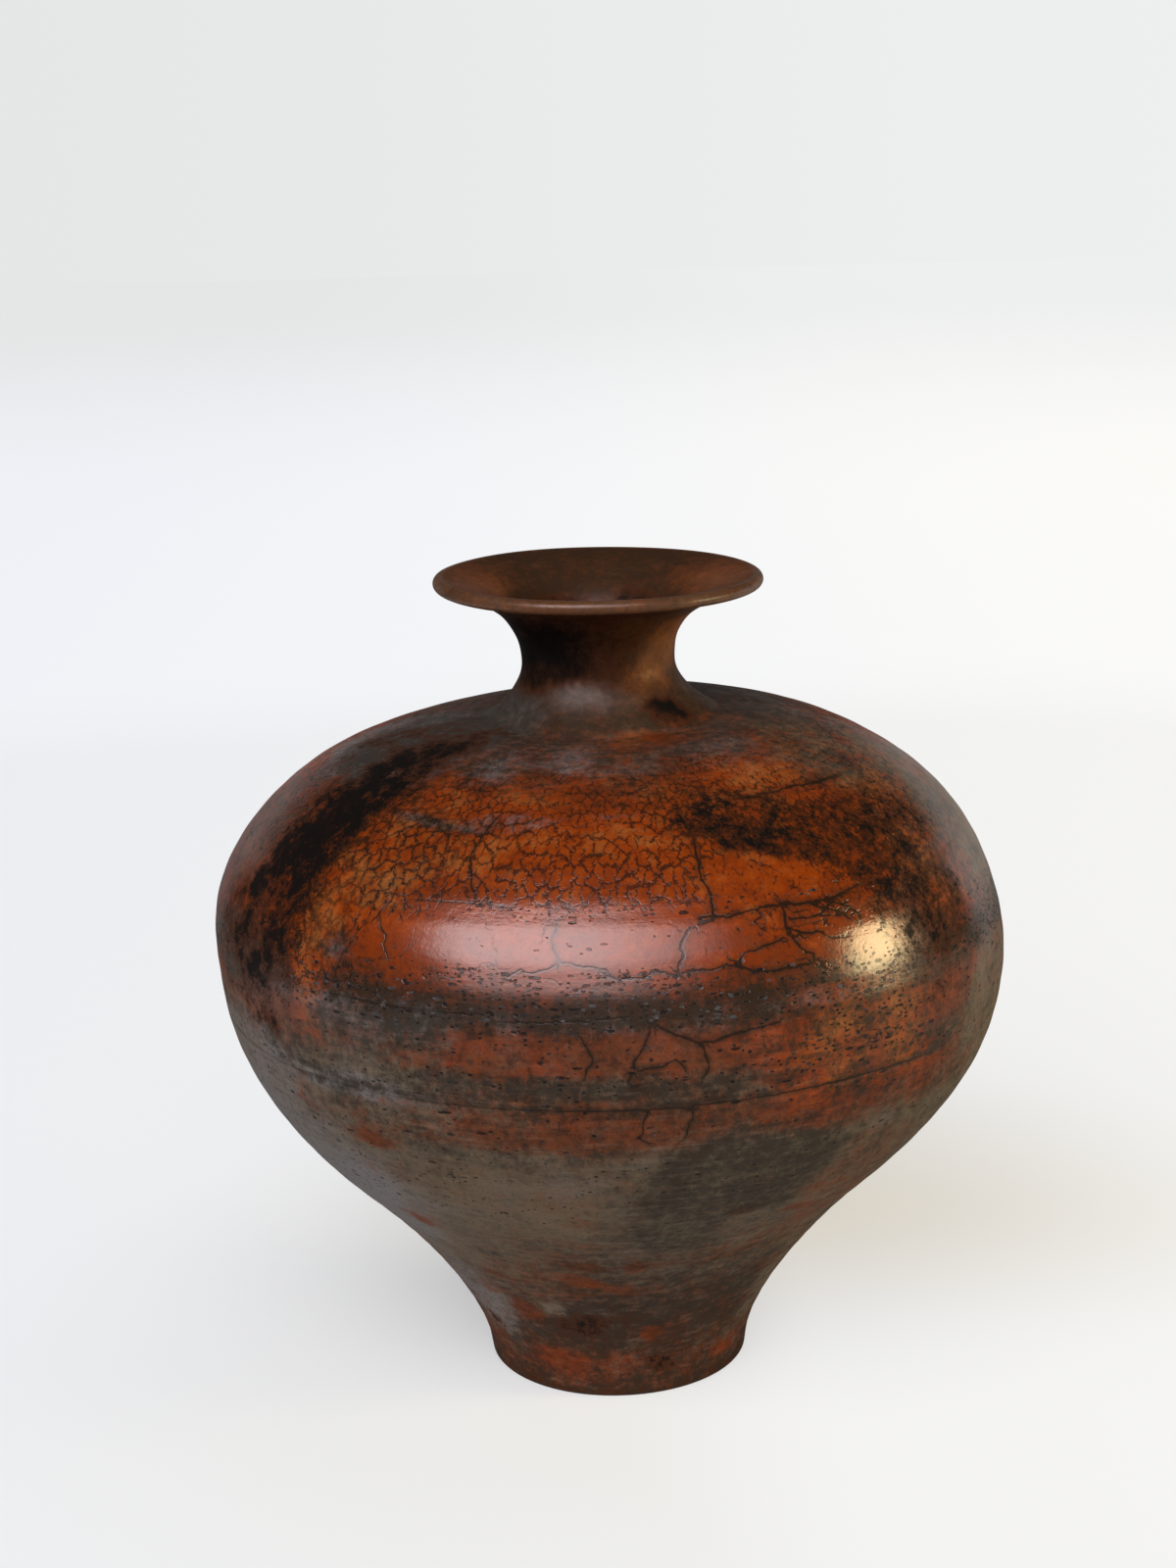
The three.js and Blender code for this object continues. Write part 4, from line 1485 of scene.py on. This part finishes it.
@dataclass(frozen=True)
class BareClay:
    """Unglazed clay inside the vase and under the foot, grey with smoke and grooved by the turning."""

    pale: Colour = srgb(112, 92, 78)
    smoked: Colour = srgb(58, 48, 42)
    speck: Colour = srgb(30, 26, 24)
    roughness: float = 0.85

    def material(self) -> bpy.types.Material:
        """Builds the material.

        Returns:
            The material.
        """
        material, graph = new_material("bare smoked clay")
        place = graph.node("ShaderNodeTexCoord", output="Object")
        turned = graph.attribute(TURNED, "Vector")
        cloud = graph.noise(place, 0.020, 4, 0.6)
        grog = graph.noise(place, 0.0014, 3, 0.7)
        ridges = graph.noise(graph.vector("MULTIPLY", turned, (0.1, 0.1, 1.0)), 0.0030, 2)
        rings = {"wave_type": "RINGS", "rings_direction": "Z"}
        wave = {"Vector": place, "Scale": 70.0, "Distortion": 1.5, "Detail": 2.0}
        radial = graph.node("ShaderNodeTexWave", rings, wave, 1)
        colour = graph.blend((cloud + (ridges - 0.5) * 0.4).rise(0.3, 0.7), self.smoked, self.pale)
        colour = graph.blend(grog.rise(0.58, 0.72) * 0.7, colour, self.speck)
        roughness = self.roughness + (grog - 0.5) * 0.2
        relief = (ridges - 0.5) * 0.5 + (grog - 0.5) * 0.35 + radial * 0.12
        graph.plain_finish(colour, roughness, relief)
        return material


@dataclass(frozen=True)
class JoiningSlip:
    """The dried and fired slip that glues the sections."""

    light: Colour = srgb(150, 128, 110)
    dark: Colour = srgb(112, 92, 78)
    roughness: float = 0.9

    def material(self) -> bpy.types.Material:
        """Builds the material.

        Returns:
            The material.
        """
        material, graph = new_material("joining slip")
        place = graph.node("ShaderNodeTexCoord", output="Object")
        smear = graph.noise(place, 0.0030, 3, 0.6)
        grain = graph.noise(place, 0.0006, 2, 0.6)
        colour = graph.blend(smear.rise(0.35, 0.65), self.dark, self.light)
        roughness = self.roughness + (grain - 0.5) * 0.1
        relief = (smear - 0.5) * 0.4 + (grain - 0.5) * 0.15
        graph.plain_finish(colour, roughness, relief)
        return material


@dataclass
class Workshop:
    """What every piece is made with: the wall, the hand, the fire and the finishes."""

    wall: Wall
    hand: ThrowersHand = field(default_factory=ThrowersHand)
    fire: FireMap = field(init=False)
    slip: bpy.types.Material = field(init=False)
    clay: bpy.types.Material = field(init=False)
    joining: bpy.types.Material = field(init=False)

    def __post_init__(self) -> None:
        """Mixes the finishes."""
        self.fire = FireMap(self.wall)
        self.slip = RakuSlip().material()
        self.clay = BareClay().material()
        self.joining = JoiningSlip().material()


# The pieces


@dataclass
class TurnedPiece:
    """A piece turned from a closed section about the axis."""

    workshop: Workshop
    name: str
    node: str
    slot: str
    around: int = 320
    step: float = 0.0015
    least_depth: float = 0.001  # under the outside, from where on a point counts as inside
    smooth_angle: float = 35.0  # up to which an edge is shaded smooth, in degrees
    front: tuple[float, float] = (-58.0, 49.0)  # the azimuths between which the front lies, in degrees

    @property
    def wall(self) -> Wall:
        """The wall that the piece is part of."""
        return self.workshop.wall

    def section(self) -> Line:
        """Gives the piece's section.

        Returns:
            The section as one line round the clay.
        """
        raise NotImplementedError

    def build(self) -> bpy.types.Object:
        """Returns:
            The finished piece.
        """
        section = self.section()
        piece = self._turned(section)
        self._dressed(piece)
        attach(piece, BODY)
        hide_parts(self.node)
        log.info("%s: %d faces", piece.name, len(piece.data.polygons))
        return piece

    def _turned(self, section: Line) -> bpy.types.Object:
        """Turns the section about the axis.

        Args:
            section: The section.

        Returns:
            A closed mesh whose vertices know their arc, direction and cover.
        """
        bpy.ops.object.select_all(action="DESELECT")
        bpy.ops.mesh.primitive_circle_add(vertices=len(section.points), radius=1.0)
        piece = bpy.context.object
        piece.name = self.name
        piece.data.name = self.name
        corners = np.zeros((len(section.points), 3))
        corners[:, 1] = -section.points[:, 0]
        corners[:, 2] = section.points[:, 1]
        piece.data.vertices.foreach_set("co", corners.ravel())
        out_r, out_z = section.out.T
        known = {"arc": section.arc, "out_r": out_r, "out_z": out_z, "slip": section.slip}
        for name, values in known.items():
            FireMap.write(piece.data, name, values)
        bpy.ops.object.modifier_add(type="SCREW")
        wheel = piece.modifiers[-1]
        wheel.axis = "Z"
        wheel.angle = math.tau
        wheel.steps = wheel.render_steps = self.around
        bpy.ops.object.modifier_apply(modifier=wheel.name)
        bpy.ops.object.mode_set(mode="EDIT")
        bpy.ops.mesh.select_all(action="SELECT")
        bpy.ops.mesh.remove_doubles(threshold=1e-6)
        bpy.ops.mesh.delete_loose(use_verts=True, use_edges=True, use_faces=False)
        bpy.ops.mesh.select_all(action="SELECT")
        bpy.ops.mesh.normals_make_consistent(inside=False)
        bpy.ops.object.mode_set(mode="OBJECT")
        return piece

    @staticmethod
    def _read(mesh: bpy.types.Mesh, name: str) -> np.ndarray:
        """Reads one value for each vertex.

        Args:
            mesh: The piece's mesh.
            name: The attribute's name.

        Returns:
            The values.
        """
        values = np.zeros(len(mesh.vertices), np.float32)
        mesh.attributes[name].data.foreach_get("value", values)
        return values.astype(float)

    @staticmethod
    def _whole_numbers(items: bpy.types.bpy_prop_collection, name: str) -> np.ndarray:
        """Reads one whole number for each item.

        Args:
            items: The corners or faces of a mesh.
            name: The number's name.

        Returns:
            The numbers.
        """
        numbers = np.zeros(len(items), np.int32)
        items.foreach_get(name, numbers)
        return numbers

    @staticmethod
    def _places(items: bpy.types.bpy_prop_collection, name: str) -> np.ndarray:
        """Reads the place of each item.

        Args:
            items: The vertices or faces of a mesh.
            name: The place's name.

        Returns:
            The places.
        """
        numbers = np.zeros(len(items) * 3)
        items.foreach_get(name, numbers)
        return numbers.reshape(-1, 3)

    def _dressed(self, piece: bpy.types.Object) -> None:
        """Shapes a turned piece by hand, paints what the fire left and gives it its finishes.

        Args:
            piece: The piece.
        """
        mesh = piece.data
        places = self._places(mesh.vertices, "co")
        azimuth = np.arctan2(places[:, 0], -places[:, 1])
        radius = np.hypot(places[:, 0], places[:, 1])
        arc = self._read(mesh, "arc")
        out = np.stack([self._read(mesh, "out_r"), self._read(mesh, "out_z")], axis=1)
        radii, heights = self.wall.faces[Side.OUTSIDE].T
        under = radius < np.interp(places[:, 2], heights, radii) - self.least_depth
        inner = under & (places[:, 2] > self.wall.outline.foot_height)
        self.workshop.fire.paint(mesh, azimuth, places[:, 2], arc, inner)
        self._write_coordinates(mesh, azimuth, arc)
        moved = self.workshop.hand.shaped(places, azimuth, arc, out)
        mesh.vertices.foreach_set("co", moved.ravel())
        self._lay_finishes(mesh)
        bpy.ops.object.select_all(action="DESELECT")
        piece.select_set(True)
        bpy.context.view_layer.objects.active = piece
        bpy.ops.object.shade_smooth_by_angle(angle=math.radians(self.smooth_angle))
        mesh.update()

    def _write_coordinates(self, mesh: bpy.types.Mesh, azimuth: np.ndarray, arc: np.ndarray) -> None:
        """Writes the two coordinate systems that the finishes use.

        The turned one wraps the surface round a cylinder, and has no seam. The unrolled one lies flat and
        keeps angles. It is cut where soot hides the cut: on the left and the right of the shoulder.

        Args:
            mesh: The piece's mesh.
            azimuth: The azimuth of each vertex, in radians.
            arc: Its length along the outside.
        """
        turned = np.stack([ROLL_RADIUS * np.sin(azimuth), -ROLL_RADIUS * np.cos(azimuth), arc], axis=1)
        attribute = mesh.attributes.new(TURNED, "FLOAT_VECTOR", "POINT")
        attribute.data.foreach_set("vector", turned.ravel().astype(np.float32))

        outside = self.wall.faces[Side.OUTSIDE]
        steps = np.diff(self.wall.arc) / ((outside[1:, 0] + outside[:-1, 0]) / 2) * ROLL_RADIUS
        flat_arc = np.concatenate([[0], np.cumsum(steps)])
        rolled = np.interp(arc, self.wall.arc, flat_arc)
        corner_vertices = self._whole_numbers(mesh.loops, "vertex_index")
        centres = self._places(mesh.polygons, "center")
        face_azimuth = np.degrees(np.arctan2(centres[:, 0], -centres[:, 1]))
        in_front = (face_azimuth > self.front[0]) & (face_azimuth < self.front[1])
        totals = self._whole_numbers(mesh.polygons, "loop_total")
        middle = np.repeat(np.where(in_front, 0.0, math.pi), totals)
        turn = (azimuth[corner_vertices] - middle + math.pi) % math.tau - math.pi
        flat = np.stack([turn * ROLL_RADIUS, rolled[corner_vertices]], axis=1)
        layer = mesh.uv_layers.new(name=UNROLLED)
        layer.data.foreach_set("uv", flat.ravel().astype(np.float32))

    def _lay_finishes(self, mesh: bpy.types.Mesh) -> None:
        """Gives each face its finish: slip where all its corners are covered, bare clay elsewhere.

        Args:
            mesh: The piece's mesh.
        """
        mesh.materials.append(self.workshop.slip)
        mesh.materials.append(self.workshop.clay)
        covered = self._read(mesh, "slip") > 0.5
        corner_vertices = self._whole_numbers(mesh.loops, "vertex_index")
        starts = self._whole_numbers(mesh.polygons, "loop_start")
        bare = 1 - np.minimum.reduceat(covered[corner_vertices].astype(np.int32), starts)
        mesh.polygons.foreach_set("material_index", bare.astype(np.int32))


@dataclass
class FootRing(TurnedPiece):
    """The ring that the vase stands on, with a rounded standing edge inside and outside."""

    edge_steps: int = 8
    side_steps: int = 6

    def section(self) -> Line:
        """Gives the ring's section.

        Returns:
            The section, from the inside of its standing edge to the top of its bore.
        """
        outline, wall = self.wall.outline, self.wall
        edge = wall.standing_edge
        outer = outline.foot_radius - wall.foot_taper
        bore = outer - wall.foot_wall
        sweep = np.radians(np.linspace(0, 90, self.edge_steps + 1))
        inner_edge = [(bore + edge - edge * math.cos(a), edge - edge * math.sin(a)) for a in sweep]
        outer_edge = [(outer - edge + edge * math.sin(a), edge - edge * math.cos(a)) for a in sweep]
        share = np.linspace(0, 1, self.side_steps + 1)[1:]
        side = [(outer + s * wall.foot_taper, edge + s * (outline.foot_height - edge)) for s in share]
        height = outline.foot_height
        bare = wall.corners(inner_edge, height)
        covered = wall.corners(outer_edge + side, height)
        covered.slip[2:] = 1.0
        covered.arc += covered.points[:, 1] - height
        top = wall.corners([(bore, height)], height)
        return Line.joined([bare, covered, wall.groove(wall.foot_joint()), top])


@dataclass
class BaseSlab(TurnedPiece):
    """The disc that closes the pot, its edge flush with the outside."""

    floor: float = 0.018
    rings: tuple[float, ...] = (0.0, 0.012, 0.024, 0.036)  # the radii at which its faces are divided

    def section(self) -> Line:
        """Gives the slab's section.

        Returns:
            The section, which starts and ends on the axis.
        """
        wall, foot = self.wall, self.wall.outline.foot_height
        start = wall.corners([(radius, foot) for radius in self.rings[:-1]], foot)
        end = wall.corners([(radius, self.floor) for radius in reversed(self.rings)], foot)
        edge = wall.stretch(Side.OUTSIDE, foot, self.floor, self.step, True)
        tongue, groove = wall.tongue(wall.foot_joint()), wall.groove(wall.joint(self.floor))
        return Line.joined([start, tongue, edge, groove, end])


@dataclass
class ThrownSection(TurnedPiece):
    """A length of thrown wall between two joints."""

    low: float = 0.0
    high: float = 0.0
    inner_step: float = 0.008

    def section(self) -> Line:
        """Gives the section of the wall between the joints.

        Returns:
            The section, from its tongue up outside and down inside.
        """
        wall = self.wall
        outside = wall.stretch(Side.OUTSIDE, self.low, self.high, self.step, True)
        inside = wall.stretch(Side.INSIDE, self.low, self.high, self.inner_step, False).backwards()
        tongue, groove = wall.tongue(wall.joint(self.low)), wall.groove(wall.joint(self.high))
        return Line.joined([tongue, outside, groove, inside])


@dataclass
class NeckAndRim(TurnedPiece):
    """The waisted neck with its flared rim and half round lip."""

    low: float = 0.0
    lip_steps: int = 18

    def section(self) -> Line:
        """Gives the section of the neck.

        Returns:
            The section, from its tongue up outside, round the lip and down inside.
        """
        wall, outline = self.wall, self.wall.outline
        top_outside = float(wall.faces[Side.OUTSIDE][-1, 1])
        top_inside = float(wall.faces[Side.INSIDE][-1, 1])
        outside = wall.stretch(Side.OUTSIDE, self.low, top_outside - 1e-6, self.step, True)
        centre, half = outline.lip_centre(), outline.lip_thickness / 2
        sweep = np.linspace(0, math.pi, self.lip_steps + 1)[1:-1] + outline.rim_angle - math.pi / 2
        lip_points = [(centre[0] + half * math.cos(a), centre[1] + half * math.sin(a)) for a in sweep]
        lip = wall.corners(lip_points, top_outside)
        lip.slip[:] = 1.0
        lip.arc += np.linspace(0, math.pi * half, self.lip_steps + 1)[1:-1]
        inside = wall.stretch(Side.INSIDE, self.low, top_inside - 1e-6, self.step, True).backwards()
        return Line.joined([wall.tongue(wall.joint(self.low)), outside, lip, inside])


@dataclass
class JointSlip(TurnedPiece):
    """The ring of slip in a groove, round the tongue."""

    joint: Joint | None = None

    def section(self) -> Line:
        """Gives the section of the slip, between the groove and the tongue."""
        return Line.joined([self.wall.groove(self.joint), self.wall.tongue(self.joint)])

    def _lay_finishes(self, mesh: bpy.types.Mesh) -> None:
        """Gives the whole ring the joining slip's finish."""
        mesh.materials.append(self.workshop.joining)


# The studio


@dataclass(frozen=True)
class Viewpoint:
    """The camera of the photograph, found from the vase's outline in it. Angles are in degrees."""

    distance: float = 0.963
    height: float = 0.4574
    yaw: float = -0.305
    pitch: float = 14.15
    roll: float = -1.66
    lens: float = 64.15
    sensor: float = 36.0
    nearest: float = 0.05  # that it sees, in metres
    furthest: float = 60.0

    def place(self) -> bpy.types.Object:
        """Makes the camera and looks through it.

        Returns:
            The camera.
        """
        yaw, pitch, roll = (math.radians(a) for a in (self.yaw, self.pitch, self.roll))
        ahead = Vector((math.sin(yaw) * math.cos(pitch), math.cos(yaw) * math.cos(pitch), -math.sin(pitch)))
        level = Vector((math.cos(yaw), -math.sin(yaw), 0))
        upright = level.cross(ahead)
        right = math.cos(roll) * level + math.sin(roll) * upright
        up = math.cos(roll) * upright - math.sin(roll) * level
        data = bpy.data.cameras.new("camera")
        data.lens = self.lens
        data.sensor_width = self.sensor
        data.clip_start = self.nearest
        data.clip_end = self.furthest
        camera = bpy.data.objects.new("camera", data)
        turned = Matrix((right, up, -ahead)).transposed().to_4x4()
        camera.matrix_world = Matrix.Translation((0, -self.distance, self.height)) @ turned
        bpy.context.scene.collection.objects.link(camera)
        bpy.context.scene.camera = camera
        return camera


@dataclass(frozen=True)
class Lamp:
    """A warm disc of light, aimed at the vase. Angles are in degrees as seen from the vase."""

    azimuth: float = 79.0
    elevation: float = 11.0
    distance: float = 1.2
    diameter: float = 0.38
    brightness: float = 15.0  # of its face, where 1 is white
    colour: tuple[float, float, float] = (1.0, 0.90, 0.46)
    aim: tuple[float, float, float] = (0.0, 0.0, 0.15)

    def hang(self) -> bpy.types.Object:
        """Makes the light.

        Returns:
            The light.
        """
        data = bpy.data.lights.new("lamp", "AREA")
        data.shape = "DISK"
        data.size = self.diameter
        data.energy = self.brightness * math.pi * (self.diameter * self.diameter * (math.pi / 4))
        data.color = self.colour
        azimuth, elevation = math.radians(self.azimuth), math.radians(self.elevation)
        back = Vector((
            math.sin(azimuth) * math.cos(elevation),
            -math.cos(azimuth) * math.cos(elevation),
            math.sin(elevation),
        ))
        facing = back.to_track_quat("Z", "Y").to_matrix().to_4x4()
        light = bpy.data.objects.new("lamp", data)
        light.matrix_world = Matrix.Translation(Vector(self.aim) + back * self.distance) @ facing
        light.visible_camera = False
        bpy.context.scene.collection.objects.link(light)
        return light


@dataclass(frozen=True)
class Window:
    """A wide window far in front, whose light comes out of the world. Its facing is in degrees.

    Places on it are the tangents of the angles across and up from its foot, as seen from the vase.
    """

    facing: float = -12.0
    brightness: float = 6.4
    colour: Colour = (1.0, 0.99, 0.98, 1.0)
    left: tuple[float, float] = (-1.45, -0.85)
    right: tuple[float, float] = (1.6, -0.2)
    sill: tuple[float, float] = (0.10, 0.74)
    top: tuple[float, float] = (1.8, 1.4)
    foot_share: float = 0.5  # how wide it is at its foot, as a share of its width higher up

    def share(self, graph: NodeGraph, direction: Signal) -> Signal:
        """Tells where the window is.

        Args:
            graph: The world's graph.
            direction: The direction that is looked in.

        Returns:
            1 inside the window and 0 outside, with soft edges.
        """
        turn = math.radians(self.facing)
        ahead = graph.measure("DOT_PRODUCT", direction, (math.sin(turn), -math.cos(turn), 0))
        aside = graph.measure("DOT_PRODUCT", direction, (math.cos(turn), math.sin(turn), 0))
        up = graph.node("ShaderNodeSeparateXYZ", {}, {"Vector": direction}, "Z")
        nearest = ahead.most(0.02)
        high = up / nearest
        across = aside / nearest / (self.foot_share + high.rise(0.2, 1.4) * (1 - self.foot_share))
        width = across.rise(*self.left) * across.rise(*self.right)
        return width * high.rise(*self.sill) * high.rise(*self.top) * ahead.rise(0.02, 0.04)


@dataclass(frozen=True)
class Studio:
    """A pale sweep behind the vase, a window in front, a warm lamp on the right and a dark room."""

    dim_pale: Colour = srgb(229, 230, 230)
    mid_pale: Colour = srgb(238, 239, 239)
    cool_pale: Colour = srgb(239, 241, 247)
    light_pale: Colour = srgb(252, 251, 248)
    floor_paint: Colour = srgb(250, 251, 252)
    # A painted warm shadow on the floor right of the foot, where the lamp fills the window's shadow.
    warm_shadow_paint: Colour = srgb(234, 226, 212)
    black: Colour = (0.0, 0.0, 0.0, 1.0)
    floor_half: float = 6.0
    near: float = 0.40  # up to this far from the vase the floor is lit, and it turns into the pale sweep
    far: float = 1.3
    dark_shadow: float = 0.36  # how much of the pale sweep also lies over the lit floor, left of the foot
    light_shadow: float = 0.78  # the same further away and on the right, where the lamp fills the shadow
    ceiling: float = 0.02
    room: float = 0.05  # brightness low in the room in front
    sweep: float = 0.85  # brightness low behind the vase
    bias: float = 0.35  # how far the bright sweep reaches round to the right

    def build(self) -> None:
        """Makes the floor, the world and the lamp."""
        self._lay_floor()
        self._light_world()
        Lamp().hang()

    @staticmethod
    def _rays(graph: NodeGraph) -> tuple[Signal, Signal]:
        """Tells what looks at a surface.

        Args:
            graph: The graph of the material or the world.

        Returns:
            1 for a direct look, and 1 for a look in a reflection or through glass.
        """
        path = graph.node("ShaderNodeLightPath", output="Is Camera Ray")
        return path, path.sibling("Is Glossy Ray").most(path.sibling("Is Transmission Ray"))

    def _lay_floor(self) -> None:
        """Makes the floor, lit near the vase and one with the pale sweep far from it."""
        bpy.ops.object.select_all(action="DESELECT")
        bpy.ops.mesh.primitive_plane_add(size=2 * self.floor_half)
        floor = bpy.context.object
        floor.name = "floor"
        material, graph = new_material("pale floor")
        place = graph.node("ShaderNodeTexCoord", output="Object")
        away = graph.measure("LENGTH", place)
        axes = graph.node("ShaderNodeSeparateXYZ", {}, {"Vector": place})
        across, along = axes, axes.sibling("Y")
        camera, mirrored = self._rays(graph)
        # A painted warm shadow beside the foot's right, where the lamp fills the window's shadow.
        warm_shadow = across.rise(0.0, 0.06) * away.rise(0.36, 0.10) * along.rise(-0.02, 0.14)
        lit = graph.node("ShaderNodeBsdfDiffuse", {}, {"Color": self.floor_paint})

        distance = away.rise(2.0, 5.0)
        left = graph.blend(distance, self.cool_pale, self.dim_pale)
        right = graph.blend(distance, self.light_pale, self.mid_pale)
        seen = graph.blend(warm_shadow, graph.blend(across.rise(-0.8, 0.8), left, right), self.warm_shadow_paint)
        behind = ((along + across * self.bias) / away.most(0.01)).rise(0.3, 1.0)
        strength = camera.most(self.room + (1 - self.room) * behind)
        sweep = graph.node("ShaderNodeEmission", {}, {"Color": graph.blend(strength, self.black, seen)})
        turned_pale = away.rise(self.near, self.far)
        lightened = away.rise(0.05, 0.28).most(across.rise(-0.02, 0.08))
        soft_shadow = self.dark_shadow + (self.light_shadow - self.dark_shadow) * lightened
        direct = camera * turned_pale.most(soft_shadow)
        share = direct + mirrored * turned_pale.most(along.rise(-0.10, -0.35))
        top = graph.node("ShaderNodeMixShader", {}, {0: share, 1: lit, 2: sweep})
        clear = graph.node("ShaderNodeBsdfTransparent")
        below = graph.node("ShaderNodeNewGeometry", output="Backfacing")
        both = graph.node("ShaderNodeMixShader", {}, {0: below, 1: top, 2: clear})
        graph.node("ShaderNodeOutputMaterial", {}, {"Surface": both})
        floor.data.materials.append(material)

    def _light_world(self) -> None:
        """Makes the world: pale low behind the vase, a window in front, and dark elsewhere."""
        world = bpy.data.worlds.new("studio")
        world.use_nodes = True
        bpy.context.scene.world = world
        graph = NodeGraph(world.node_tree)
        direction = graph.node("ShaderNodeTexCoord", output="Generated")
        axes = graph.node("ShaderNodeSeparateXYZ", {}, {"Vector": direction})
        horizon = axes.sibling("Z").rise(0.30, 0.08)
        behind = (axes.sibling("Y") + axes * self.bias).rise(0.3, 1.0)
        light = self.ceiling + horizon * (self.room + (self.sweep - self.room) * behind)
        camera, mirrored = self._rays(graph)
        shade = light + (1 - light) * camera.most(mirrored * horizon * behind)
        pale = graph.blend(axes.rise(-0.25, 0.25), self.dim_pale, self.mid_pale)
        room = graph.node("ShaderNodeBackground", {}, {"Color": graph.blend(shade, self.black, pale)})
        window = Window()
        share = window.share(graph, direction) * (1 - camera)
        glow = {"Color": graph.blend(share, self.black, window.colour), "Strength": window.brightness}
        daylight = graph.node("ShaderNodeBackground", {}, glow)
        both = graph.node("ShaderNodeAddShader", {}, {0: room, 1: daylight})
        graph.node("ShaderNodeOutputWorld", {}, {"Surface": both})


def main() -> None:
    """Loads the frame and builds the vase and its studio."""
    logging.basicConfig(level=logging.INFO, format="%(name)s: %(message)s")
    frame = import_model()
    log.info("frame: %d nodes", len(frame["nodes"]))
    bpy.context.scene.view_settings.view_transform = "Standard"

    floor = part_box("base_slab")[1].z
    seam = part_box("lower_bowl")[1].z
    wall = Wall(Outline.of_frame())
    root = wall.outline.root_height
    workshop = Workshop(wall)

    FootRing(workshop, "turned_foot", "foot_ring", "smoked_foot").build()
    BaseSlab(workshop, "base_disc", "base_slab", "smoked_foot", floor=floor).build()
    ThrownSection(
        workshop, "thrown_bowl", "lower_bowl", "smoked_bowl", around=600, step=0.0017, low=floor, high=seam
    ).build()
    ThrownSection(
        workshop, "thrown_dome", "upper_dome", "orange_dome", around=600, step=0.0015, low=seam, high=root
    ).build()
    NeckAndRim(workshop, "thrown_neck", "neck_and_rim", "brown_neck", step=0.0012, low=root).build()
    joints = {
        "foot": wall.foot_joint(),
        "base": wall.joint(floor),
        "belly": wall.joint(seam),
        "neck": wall.joint(root),
    }
    for place, joint in joints.items():
        JointSlip(workshop, f"{place}_slip_ring", f"{place}_joint_slip", "joint_slip", joint=joint).build()

    Studio().build()
    Viewpoint().place()


if __name__ == "__main__":
    main()
